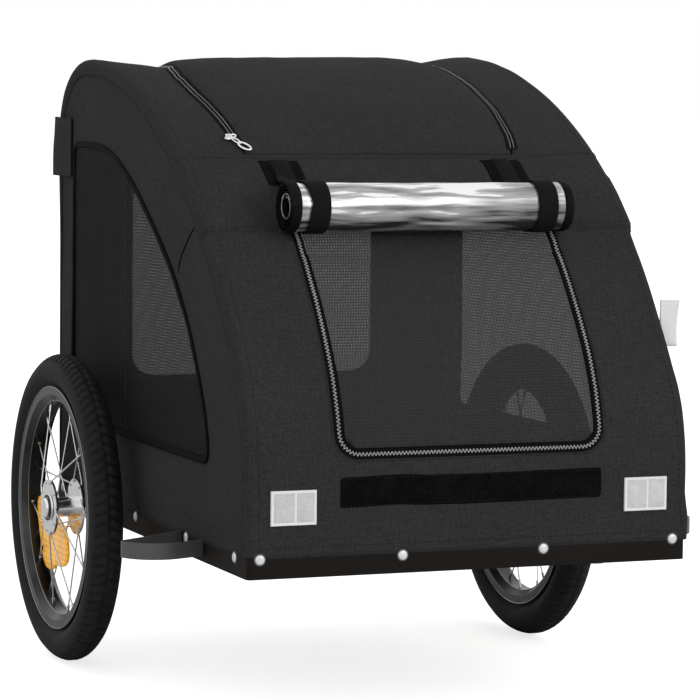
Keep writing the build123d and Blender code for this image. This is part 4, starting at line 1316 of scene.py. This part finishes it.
strapShape = {"thick": 0.0016, "patchThick": 0.0011, "half": 0.013, "patchFront": 0.222, "patchHem": 0.004,
              "tailStart": 0.012, "stitchHalf": 0.016, "stitchLift": 0.0002,
              "slant": ((20, 0.0), (60, -0.0045), (95, -0.0043), (170, 0.0027), (192, 0.0), (360, 0.0))}


def makeStrap(name, side, shape):
    # loop round the roll, tail up the brow, and the wider patch that holds it
    low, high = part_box(f"roll_strap_{name}")
    middle, wide = (low.x + high.x) / 2, (high.x - low.x) / 2
    half, t = shape["half"], shape["thick"]
    x = middle + np.array([-half, -half, -half + 0.0006, -half + 0.004, 0, half - 0.004, half - 0.0006, half,
                           half])
    radius = rollRadius + np.array([-0.0004, t * 0.6, t, t * 1.05, t * 0.95, t * 1.05, t, t * 0.6, -0.0004])
    points, faces = turned(stacked(x, radius), 72, (0, *rollMiddle[1:]))
    if side < 0:
        # this loop sits askew: its outer edge slants across the roll's top and front
        beyond = points - rollMiddle
        angle = np.degrees(np.arctan2(beyond[..., 2], beyond[..., 1])) % 360
        slant = np.interp(angle, *np.array(shape["slant"]).T)
        points[..., 0] += slant * ((middle + half - points[..., 0]) / (2 * half))
    rear, front = runAtDepth(high.y), runAtDepth(shape["patchFront"])

    def upBrow(halfAcross, start, thick):
        # straight tape on the cover from a running length back to the strap's rear end
        line = stacked(middle, np.linspace(start, rear, 24))
        return ribbon(line, *tapeSection(-halfAcross, halfAcross, thick))
    tail = upBrow(half, runAtDepth(rollMiddle[1] + shape["tailStart"]), t + shape["patchThick"])[:2]
    makePiece(f"roll_strap_{name}_web", *joined([(points, faces), tail]), webbing,
              replaced=[f"roll_strap_{name}"])
    points, faces, uv = upBrow(wide, front, shape["patchThick"])
    makePiece(f"roll_patch_{name}", points, faces, patchCloth, uv=uv)
    square = np.array([[-1, 1], [1, 1], [1, -1], [-1, -1], [-1, 1]])
    square = square * [wide - shape["patchHem"], shape["stitchHalf"]]
    line = resample(square + [middle, (rear + front) / 2], 0.001)
    lift = shape["patchThick"] + shape["stitchLift"]
    makePiece(f"patch_stitches_{name}", *stitches(line, lift=lift), thread)


def rounded(points, times=3):
    # corner cutting: each pass puts two points on every run, a quarter in from its ends
    for _ in range(times):
        near, far = points[:-1] * 0.75 + points[1:] * 0.25, points[:-1] * 0.25 + points[1:] * 0.75
        cut = np.stack([near, far], 1).reshape(-1, points.shape[1])
        points = np.concatenate([points[:1], cut, points[-1:]])
    return points


# the tail's path: (across, depth) on its patch, then (angle, across) round the roll
tailShape = {"half": 0.0075, "thick": 0.0012, "lift": 0.0030, "rollLift": 0.0022,
             "patch": ((-0.1570, 0.246), (-0.1625, 0.226)),
             "roll": ((66, -0.1800), (92, -0.1880), (118, -0.1870), (146, -0.1860), (176, -0.1860))}


def makeTail(shape):
    # loose end of the right strap: from its patch across to the roll's end, then down round it
    flat = np.array([(x, runAtDepth(y)) for x, y in shape["patch"]])
    degrees, x = np.array(shape["roll"]).T
    angle = np.radians(degrees)
    out = stacked(0.0, np.cos(angle), np.sin(angle))
    onRoll = out * (rollRadius + shape["rollLift"]) + stacked(x, *rollMiddle[1:])
    line = rounded(np.concatenate([laid(flat, shape["lift"]), onRoll]))
    up = unit(rounded(np.concatenate([skinNormal(flat), out])))
    beside = unit(np.cross(up, np.gradient(line, axis=0)))
    across = np.linspace(-1, 1, 7)[None] * shape["half"]
    points = line[:, None] + beside[:, None] * across[..., None]
    edge = np.cross(points[1, 0] - points[0, 0], points[0, 1] - points[0, 0])
    faces = gridFaces(*points.shape[:2], flip=bool(edge @ up[0] > 0))
    makePiece("roll_strap_tail", points, faces, webbing, uv=stacked(across, runAlong(line)[:, None]),
              thick=shape["thick"], offset=0.0)


makeRoll(rollShape)
makeTail(tailShape)
for name, side in sides.items():
    makeStrap(name, side, strapShape)
print("rolled rain cover made")

# loop strip, seams, crease strips of painted shade, tag and label
stripLow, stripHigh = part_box("hook_strip")
stripShape = {"step": 0.003, "rows": 17, "wave": 0.0012, "lift": 0.0028, "fuzz": 0.0003, "under": 0.0006,
              "stitchInset": 0.003, "stitchEnd": 0.004, "stitchLift": 0.0018}


def makeStrip(shape):
    # fuzzy strip on the front wall with softly waving long edges and a row of stitches along each
    across = evenly(stripLow.x, stripHigh.x, shape["step"])[:, None]
    share = np.linspace(-1, 1, shape["rows"])[None]
    half = (stripHigh.z - stripLow.z) / 2
    wave = softNoise(across, 0 * across, 0.05, 80) * shape["wave"]
    s = runAtHeight((stripLow.z + stripHigh.z) / 2) + share * half + wave
    bow = np.clip(1 - np.abs(share) ** 6, 0, 1) * np.clip(1 - np.abs(across / stripHigh.x) ** 60, 0, 1)
    lift = shape["lift"] * bow + softNoise(across, s, 0.004, 81) * shape["fuzz"] * bow - shape["under"]
    makePiece("loop_strip", skin(across, s, lift), gridFaces(*s.shape), velvet, replaced=["hook_strip"])
    run = evenly(stripLow.x + shape["stitchEnd"], stripHigh.x - shape["stitchEnd"], 0.004)
    rows = [stitches(stacked(run, runAtHeight(z)), lift=shape["stitchLift"])
            for z in (stripLow.z + shape["stitchInset"], stripHigh.z - shape["stitchInset"])]
    makePiece("strip_stitches", *joined(rows), thread)


seamShape = {"brow": 0.162, "hatch": 0.006, "low": 0.402, "half": 0.0045, "lift": 0.0006, "inset": 0.0014,
             "step": 0.005, "besideDoor": 0.028, "rowGap": 0.0016, "hem": 0.012}


def makeSeams(shape):
    # folded seams across the brow, and rows of stitches beside them and along both edges of the cover
    half, step, rows, bands = shape["half"], shape["step"], [], []
    whole = evenly(-acrossEdge, acrossEdge, step)
    for run in (runAtDepth(shape["brow"]), hatchStart - shape["hatch"]):
        line = stacked(whole, run)
        bands.append(ribbon(line, *tapeSection(-half, half, shape["lift"]))[:2])
        rows += [stitches(line + [0, offset], lift=shape["lift"] * 0.8)
                 for offset in (shape["inset"] - half, half - shape["inset"])]
    for side in (-1, 1):
        short = evenly(side * (doorHalf + shape["besideDoor"]), side * acrossEdge, step)
        line = stacked(short, runAtHeight(shape["low"]))
        rows += [stitches(line + [0, offset], lift=0.0002) for offset in (-shape["rowGap"], shape["rowGap"])]
        run = evenly(0.004, outlineLength - 0.004, step)
        rows += [stitches(stacked(side * place, run), lift=lift)
                 for place, lift in ((acrossEdge + 0.0045, 0.0010), (flatHalf - 0.003, 0.0))]
    rows.append(stitches(stacked(evenly(-flatHalf, flatHalf, step), shape["hem"])))
    points, faces = joined(bands)
    makePiece("seam_folds", points, faces, cloth, slot="cover_fabric",
              uv=points[:, [0, 2]] + points[:, [1, 1]] * [0, 1])
    makePiece("seam_stitches", *joined(rows), thread, slot="cover_fabric")


# line of each side wall's crease, which is drawn dark as painted shade
creaseShadeShape = {"line": ((0.197, 0.402), (0.210, 0.394), (0.222, 0.385), (0.239, 0.370), (0.248, 0.359),
                      (0.255, 0.346)), "half": 0.0017, "rise": 0.0013, "under": 0.0004}


def makeCreaseShades(shape):
    # narrow raised crease in each side wall, pointed at both ends, covered in the black binding tape as its
    # painted shade
    line = resample(shape["line"], 0.004)
    wide = shape["half"] * np.sin(np.linspace(0, math.pi, len(line)))[:, None]
    share = np.linspace(-1, 1, 7)[None]
    flat = line[:, None] + leftOf(line)[:, None] * (wide * share)[..., None]
    lift = shape["rise"] * (1 - share ** 2) - shape["under"]
    for name, side in sides.items():
        points = sidePoint(side, flat[..., 0], flat[..., 1], lift)
        makePiece(f"crease_shade_{name}", points, gridFaces(*points.shape[:2], flip=side > 0), binding,
                  slot="cover_fabric", uv=flat)


tagShape = {"lean": 0.010, "fold": 0.0013, "stand": 0.0018, "bow": 0.0016, "crumple": 0.0008, "wall": 0.0012,
            "foldStart": 0.62, "foldEnd": 0.70}


def makeTag(shape):
    # strip folded round the rear right corner; its fold leans out further towards the bottom
    low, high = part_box("corner_tag")
    fold, start = shape["fold"], shape["foldStart"]
    z = np.linspace(low.z, high.z, 18)[None]
    t = np.linspace(0, 1, 40)[:, None]
    reach = high.y - shape["lean"] * ((z - low.z) / (high.z - low.z)) ** 1.4 - 0.001 - fold
    outwards = np.clip(t / start, 0, 1)
    turn = np.clip((t - start) / (shape["foldEnd"] - start), 0, 1) * math.pi
    back = np.clip((t - shape["foldEnd"]) / (1 - shape["foldEnd"]), 0, 1) * (reach - bodyLength - 0.003)
    y = low.y + (reach - low.y) * outwards + fold * np.sin(turn) - back
    x = fold * (1 - np.cos(turn)) - halfWidth - shape["stand"] - shape["bow"] * np.sin(outwards * math.pi)
    x = x + shape["crumple"] * softNoise(y, z + y * 0, 0.03, 90)
    points = stacked(x, y, z)
    piece = makePiece("rear_tag", points, gridFaces(*points.shape[:2]), cloth, uv=stacked(z, t * 0.12),
                      replaced=["corner_tag"], thick=shape["wall"], offset=0.0)


labelShape = {"y": 0.076, "low": 0.256, "high": 0.314, "reach": 0.025, "half": 0.0009, "bend": 0.004,
              "slant": 0.10, "wall": 0.0004}


def makeLabel(shape):
    # blank white label: a loop that stands out from the left side seam
    tall = shape["high"] - shape["low"]
    z = np.linspace(shape["low"], shape["high"], 12)[None]
    t = np.linspace(0, 1, 30)[:, None]
    along = 1 - np.abs(2 * t - 1)
    x = halfWidth - 0.001 + shape["reach"] * along
    bend = shape["bend"] * along ** 2 * np.sin((z - shape["low"]) / tall * math.pi)
    y = shape["y"] + shape["half"] * np.sign(t - 0.5) * (1 - along ** 6) + bend
    points = stacked(x, y - shape["slant"] * (z - shape["low"]) * along, z)
    piece = makePiece("blank_label", points, gridFaces(*points.shape[:2]), labelCloth,
                      uv=stacked(t * 0.05, z), thick=shape["wall"], offset=0.0)


makeStrip(stripShape)
makeSeams(seamShape)
makeCreaseShades(creaseShadeShape)
makeTag(tagShape)
makeLabel(labelShape)
print("strip, seams, tag and label made")

# rivets and reflectors; a rivet's rings are (share of its radius, share of its dome, height added)
rivetShape = {"front": ((-0.2705, 0.0235), (-0.090, 0.0215), (0.094, 0.0215), (0.268, 0.0260)),
              "sides": (0.043, 0.219, 0.418, 0.600, 0.740), "height": 0.0215, "radius": 0.0060,
              "dome": 0.0024, "washer": 0.0076, "around": 14,
              "head": ((0.6, 0, -0.0004), (1, 0, -0.0004), (1, 0.35, 0), (0.86, 0.72, 0), (0.62, 0.92, 0),
                       (0.3, 1, 0), (0, 1.01, 0))}


def makeRivets(shape):
    # domed heads round the tray's edge, each on a thin dark washer
    places = [((x, y, z), (0, out, 0)) for x, z in shape["front"] for y, out in ((0.0, -1), (bodyLength, 1))]
    places += [((side * halfWidth, y, shape["height"]), (side, 0, 0)) for y in shape["sides"]
               for side in (1, -1)]
    places, third = (np.array(part, float) for part in zip(*places))
    first = np.tile([0.0, 0, 1], (len(places), 1))
    second = np.cross(third, first)
    r, washer = shape["radius"], shape["washer"]
    head = [(share * r, rise * shape["dome"] + extra) for share, rise, extra in shape["head"]]
    ring = [(r * 0.5, -0.0006), (washer, -0.0004), (washer, 0.0004), (washer * 0.9, 0.0008),
            (r * 0.7, 0.0008)]
    angle = ringAngles(shape["around"])[None]
    for name, profile, finish, slot in (("rivets", head, rivetMetal, "spoke_steel"),
                                        ("rivet_washers", ring, guardPaint, "tray_paint")):
        radius, height = np.array(profile).T[..., None]
        template = stacked(radius * np.cos(angle), radius * np.sin(angle), height)
        faces = gridFaces(*template.shape[:2], False, True, flip=True)
        makePiece(name, *stamped(template.reshape(-1, 3), faces, places, first, second, third), finish,
                  slot=slot)


lampShape = {"width": 0.057, "rim": 0.0030, "divide": 0.0011, "divideAt": 0.08, "recess": 0.0009,
             "bevel": 0.0007, "stand": 0.0034, "raise": 0.0018, "back": 0.0004, "crown": 0.0005,
             "groove": 0.00012, "groovePitch": 0.0024, "paneLift": 0.00015, "paneGrid": (26, 34)}


def makeReflectors(node, plane, outward, lens, casing, slot, shape):
    # framed plate with an upright divider; each pane has its own shallow crown and grooves;
    # a and b run from -1 to 1 across and up the plate
    low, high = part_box(node)
    size = np.array([shape["width"], high.z - low.z])
    rimA, rimB = 1 - 2 * shape["rim"] / size
    bevel, divide, at = 2 * shape["bevel"] / size[0], 2 * shape["divide"] / size[0], shape["divideAt"]

    def plate(middle, a, b, height):
        # points of the plate: across and up it, and a height off it
        flat = np.stack([a * -outward * size[0] / 2, height * outward, b * size[1] / 2], -1)
        return flat + middle

    def relief(a, b):
        # face of the frame: its panes recessed, its outer edge bevelled
        inner = (np.abs(a) < rimA - bevel / 2) & (np.abs(b) < rimB - bevel / 2)
        inner &= np.abs(a - at) > divide + bevel / 2
        outer = (np.abs(a) > 1 - bevel / 2) | (np.abs(b) > 1 - bevel / 2)
        return np.where(inner, -shape["recess"], 0.0) - np.where(outer, shape["bevel"], 0.0)

    def crowned(a, b, start, end):
        # face of a pane: a low crown that falls to its edges, with fine upright grooves
        crown = (1 - ((a - (start + end) / 2) / ((end - start) / 2)) ** 4) * (1 - (b / rimB) ** 4)
        grooves = shape["groove"] * np.cos(a * size[0] / 2 * math.tau / shape["groovePitch"])
        height = shape["paneLift"] - shape["recess"] + shape["crown"] * np.clip(crown, 0, 1)
        return height + grooves * (crown > 0.05)
    panes = ((-rimA + bevel, at - divide - bevel), (at + divide + bevel, rimA - bevel))
    stepsA = [-1, -1, -1 + bevel, -rimA, panes[0][0], panes[0][1], at - divide, at + divide, panes[1][0],
              panes[1][1], rimA, 1 - bevel, 1, 1]
    stepsB = [-1, -1, -1 + bevel, -rimB, -rimB + bevel, rimB - bevel, rimB, 1 - bevel, 1, 1]
    a, b = np.meshgrid(stepsA, stepsB, indexing="ij")
    # the outermost ring of points runs straight back, and one flat face closes it
    height = relief(a, b)
    height[[0, -1]] = height[:, [0, -1]] = shape["back"] - shape["stand"]
    index = np.arange(a.size).reshape(a.shape)
    rim = np.concatenate([index[:-1, 0], index[-1, :-1], index[:0:-1, -1], index[0, :0:-1]])
    for name, side in sides.items():
        middle = np.array([side * (high.x - size[0] / 2), plane + outward * shape["stand"],
                           (low.z + high.z) / 2 + shape["raise"]])
        makePiece(f"{node}_{name}_frame", plate(middle, a, b, height), [gridFaces(*a.shape), rim[None, ::-1]],
                  casing, slot=slot, replaced=[node], smooth=False)
        parts = []
        for start, end in panes:
            grid = np.meshgrid(np.linspace(start, end, shape["paneGrid"][0]),
                               np.linspace(-rimB + bevel, rimB - bevel, shape["paneGrid"][1]), indexing="ij")
            parts.append((plate(middle, *grid, crowned(*grid, start, end)), gridFaces(*shape["paneGrid"])))
        makePiece(f"{node}_{name}_lens", *joined(parts), lens, slot=slot)


makeRivets(rivetShape)
makeReflectors("reflectors_front", 0.0, -1, whiteLens, whiteFrame, "white_lens", lampShape)
makeReflectors("reflectors_rear", bodyLength, 1, redLens, redFrame, "red_lens", lampShape)
print("rivets and reflectors made")

# wheels
tyreShape = {"section": 0.0222, "squash": 0.985, "end": 2.45, "rows": 47, "blocks": 92, "perBlock": 8,
             "grooveDepth": 0.0028, "groove": (0.30, 0.42), "centre": (0.03, 0.09), "curve": 0.55,
             "ahead": 0.25, "treadTurn": 0.98, "shoulder": 0.0008, "wallLine": 0.0004, "wallTurn": 1.75,
             "bead": 0.0135, "beadRadius": 0.1555}


def makeTyre(name, shape):
    # arc of the tyre's section turned round the wheel, with its relief added to the section's radius, and
    # closed by a bead on each side
    low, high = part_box(f"tyre_{name}")
    section, blocks = shape["section"], shape["blocks"]
    angle = ringAngles(blocks * shape["perBlock"])
    phi, theta = np.linspace(-shape["end"], shape["end"], shape["rows"])[:, None], angle[None]
    # transverse grooves curve back towards both shoulders, and each side is half a block ahead of the other
    block = theta * blocks / math.tau + shape["curve"] * np.cos(phi * 1.5) + shape["ahead"] * np.sign(phi)
    groove = fade(np.abs(np.mod(block, 1) - 0.5), *shape["groove"])
    centre = fade(np.abs(phi + 0.05 * np.sin(theta * blocks)), *shape["centre"])
    out = np.abs(phi) - shape["treadTurn"]
    relief = -shape["grooveDepth"] * (1 - fade(out, -0.10, 0)) * np.maximum(groove, 1 - centre)
    relief = relief + shape["shoulder"] * bell(out - 0.12, 0.05)
    size = section + relief + shape["wallLine"] * bell(np.abs(phi) - shape["wallTurn"], 0.03)
    x, radius = size * np.sin(phi) * shape["squash"], (high.z - low.z) / 2 - section + size * np.cos(phi)
    bead = np.full((1, len(angle)), shape["bead"])
    x = np.concatenate([-bead, x, bead])
    radius = np.pad(radius, ((1, 1), (0, 0)), constant_values=shape["beadRadius"])
    points = stacked(x, radius * np.cos(angle), radius * np.sin(angle)) + middleOf(f"tyre_{name}")
    makePiece(f"tyre_{name}_tread", points, gridFaces(*x.shape, False, True), rubber, f"wheel_{name}",
              "tyre_rubber", replaced=[f"tyre_{name}"])


# a stem's profile is (distance in from its foot, radius)
valveShape = {"foot": 0.1405, "turn": {"left": 55, "right": 235},
              "profile": ((0, 0), (0, 0.0042), (0.003, 0.0042), (0.004, 0.0030), (0.016, 0.0028),
                          (0.0165, 0.0036), (0.026, 0.0034), (0.028, 0.0022), (0.0282, 0))}


def makeValve(name, shape):
    # valve stem with its cap, standing in from the rim, turned about the axle to its place
    profile = [(shape["foot"] - inwards, radius) for inwards, radius in shape["profile"]]
    points, faces = turned(profile, 14, (0, 0, 0), axis="Z")
    turn = math.radians(shape["turn"][name])
    c, s = math.cos(turn), math.sin(turn)
    x, y, z = np.moveaxis(points, -1, 0)
    makePiece(f"valve_{name}", stacked(x, y * c - z * s, y * s + z * c) + middleOf(f"rim_{name}"),
              faces[:, ::-1], rubber, f"wheel_{name}", "tyre_rubber")


# an edge is its distance from the wheel's middle plane, its radius and its wire's radius; edges are drawn in
# the painted-highlight metal
rimShape = {"edges": ((0.0171, 0.1596, 0.0007), (0.0090, 0.1412, 0.0006)), "sides": 6, "around": 144}


def makeRimHighlightRings(name, shape):
    # rolled edges of the rim: rings at its outer lips and at the well's corners, in a brighter copy of the
    # rim metal that is painted highlight
    turn, parts = ringAngles(shape["sides"]), []
    for x, radius, wire in shape["edges"]:
        for side in (-1, 1):
            profile = stacked(side * x + wire * np.cos(turn), radius + wire * np.sin(turn))
            points, _ = turned(profile, shape["around"], middleOf(f"rim_{name}"))
            parts.append((points, gridFaces(*points.shape[:2], True, True)))
    makePiece(f"rim_highlight_rings_{name}", *joined(parts), rimHighlightMetal, f"wheel_{name}", "rim_metal")


# outline of the wheel's amber plate about the axle in millimetres, as (rearwards, up), seen on the right
# wheel; rings are (share of the way from its middle to its outline, share of its thickness)
plateShape = {"outline": ((70, -4), (104, 4), (127, -2), (122, -34), (100, -80), (84, -94), (52, -92),
                          (44, -82), (22, -84), (-6, -78), (-16, -62), (-6, -34), (20, -22)),
              "thick": 0.0032, "x": -0.001, "cut": ((46, -92), (34, -34)), "cutDepth": 0.45,
              "cutHalf": 0.003, "step": 0.004,
              "rings": ((0.12, 1), (0.3, 1), (0.5, 1), (0.7, 1), (0.85, 1), (0.94, 0.92), (0.985, 0.7),
                        (1.0, 0.35))}


def makePlate(name, side, shape):
    # lens plate between the two rows of spokes: an outline rounded by corner cutting, a soft edge,
    # and a groove between its two lobes
    corners = np.array(shape["outline"], float) / 1000
    ring = resample(rounded(np.concatenate([corners, corners[:2]]))[1:-1], shape["step"], closed=True)
    centre = ring.mean(0)
    rings = np.array(shape["rings"])
    share, thick = np.concatenate([rings, rings[::-1] * [1, -1]]).T
    flat = centre + (ring[None] - centre) * share[:, None, None]
    start, end = np.array(shape["cut"]) / 1000
    way = unit(end - start)
    off = (flat[..., 0] - start[0]) * way[1] - (flat[..., 1] - start[1]) * way[0]
    thick = thick[:, None] * shape["thick"] * (1 - shape["cutDepth"] * bell(off, shape["cutHalf"]))
    points = stacked(shape["x"] * side + thick, flat[..., 0] * -side, flat[..., 1]) + middleOf(f"rim_{name}")
    count = len(ring)
    flip = bool(np.cross(ring[1] - ring[0], centre - ring[0]) > 0) != (side > 0)
    caps = np.stack([np.arange(count), np.arange(count)[::-1] + (len(share) - 1) * count])
    faces = [gridFaces(len(share), count, False, True, flip=flip), caps[:, ::-1] if flip else caps]
    makePiece(f"wheel_plate_{name}", points, faces, amberLens, f"wheel_{name}", "amber_lens",
              replaced=[f"spoke_reflector_{name}"])


# a seal's profile is (distance out from the hub's end, radius)
sealShape = ((-0.0004, 0.0170), (0.0010, 0.0172), (0.0014, 0.0160), (0.0010, 0.0142), (-0.0004, 0.0138))


def makeSeal(name, side, shape):
    # dark ring round the release button on the hub's outer end
    low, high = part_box(f"hub_{name}")
    end = high.x if side > 0 else low.x
    profile = [(end + side * out, radius) for out, radius in shape]
    points, faces = turned(profile, 48, middleOf(f"hub_{name}") * [0, 1, 1])
    makePiece(f"hub_seal_{name}", points, faces[:, ::-1] if side < 0 else faces, blackRing, f"wheel_{name}",
              "tyre_rubber")


for name, side in sides.items():
    makePlate(name, side, plateShape)
    makeSeal(name, side, sealShape)
    makeTyre(name, tyreShape)
    makeRimHighlightRings(name, rimShape)
    makeValve(name, valveShape)
print("wheels made")

# finishes of the frame's own parts
nodeFinishes = {"floor_tray": trayPaintWithPaintedWarmth, "side_frame": framePaint, "cross_bar": framePaint, "rim": rimMetal,
                "hub": chrome, "spokes": spokeSteel, "axle_receiver": framePaint, "axle": chrome,
                "wheel_guard": guardPaint, "drawbar_bracket": framePaint, "drawbar_pin": spokeSteel,
                "drawbar": barPaint, "hitch_fork": spokeSteel}


def dressNodes(finishes):
    # the longest matching name gives a node its finish
    for node, part in frame["nodes"].items():
        fits = [name for name in finishes if node.startswith(name)]
        if fits and not part.hide_render:
            for place in part.material_slots:
                place.material = finishes[max(fits, key=len)]


dressNodes(nodeFinishes)

# floor, light and background; a lamp is its power, its size and its place
studio = {"floorLow": (0.80, 0.80, 0.80), "floorHigh": (0.83, 0.83, 0.83), "floorGlow": 0.74,
          "floorSize": 60, "worldLight": 0.66, "target": (0, 0.35, 0.2),
          "lamps": {"key": (52.0, 2.4, (1.9, -3.4, 2.2)), "fill": (10.0, 2.6, (-3.4, -1.6, 1.2))}}


def makeStudio(values):
    # the floor glows only for the camera, so that it shows white round the shadow it keeps; the sky is white
    # to the camera and in mirror-like faces, and dimmer as a light
    bpy.ops.mesh.primitive_plane_add(size=values["floorSize"], location=(0, 0.4, cadBox[0].z - 0.0005))
    floor = bpy.context.object
    floor.name = "floor"
    surface = Finish("floor", Roughness=0.95, Specular_IOR_Level=0.05, Emission_Strength=values["floorGlow"])
    cloud = surface.noise(surface.place(), 2.0, 2.0)
    surface.set("Base Color", surface.mix(cloud, values["floorLow"], values["floorHigh"]))
    seen = surface.add("ShaderNodeLightPath", {}, {}, "Is Camera Ray")
    surface.set("Emission Color", surface.mix(seen, (0, 0, 0), (1, 1, 1)))
    floor.data.materials.append(surface.material)
    world = bpy.data.worlds.new("studio")
    bpy.context.scene.world = world
    world.use_nodes = True
    tree, sky = world.node_tree, world.node_tree.nodes["Background"]
    path, strength = tree.nodes.new("ShaderNodeLightPath"), tree.nodes.new("ShaderNodeMapRange")
    shown = path.outputs["Is Camera Ray"]
    for ray in ("Is Glossy Ray", "Is Transmission Ray"):
        larger = tree.nodes.new("ShaderNodeMath")
        larger.operation = "MAXIMUM"
        tree.links.new(shown, larger.inputs[0])
        tree.links.new(path.outputs[ray], larger.inputs[1])
        shown = larger.outputs[0]
    strength.inputs["To Min"].default_value = values["worldLight"]
    strength.inputs["To Max"].default_value = 1.0
    tree.links.new(shown, strength.inputs["Value"])
    tree.links.new(strength.outputs[0], sky.inputs["Strength"])
    sky.inputs["Color"].default_value = (1, 1, 1, 1)
    for name, (power, size, place) in values["lamps"].items():
        lamp = bpy.data.lights.new(name, "AREA")
        lamp.energy, lamp.size = power, size
        light = bpy.data.objects.new(name, lamp)
        light.location = place
        aim = Vector(values["target"]) - Vector(place)
        light.rotation_euler = aim.to_track_quat("-Z", "Y").to_euler()
        bpy.context.collection.objects.link(light)
    bpy.context.scene.view_settings.view_transform = "Standard"


makeStudio(studio)
print("studio made")
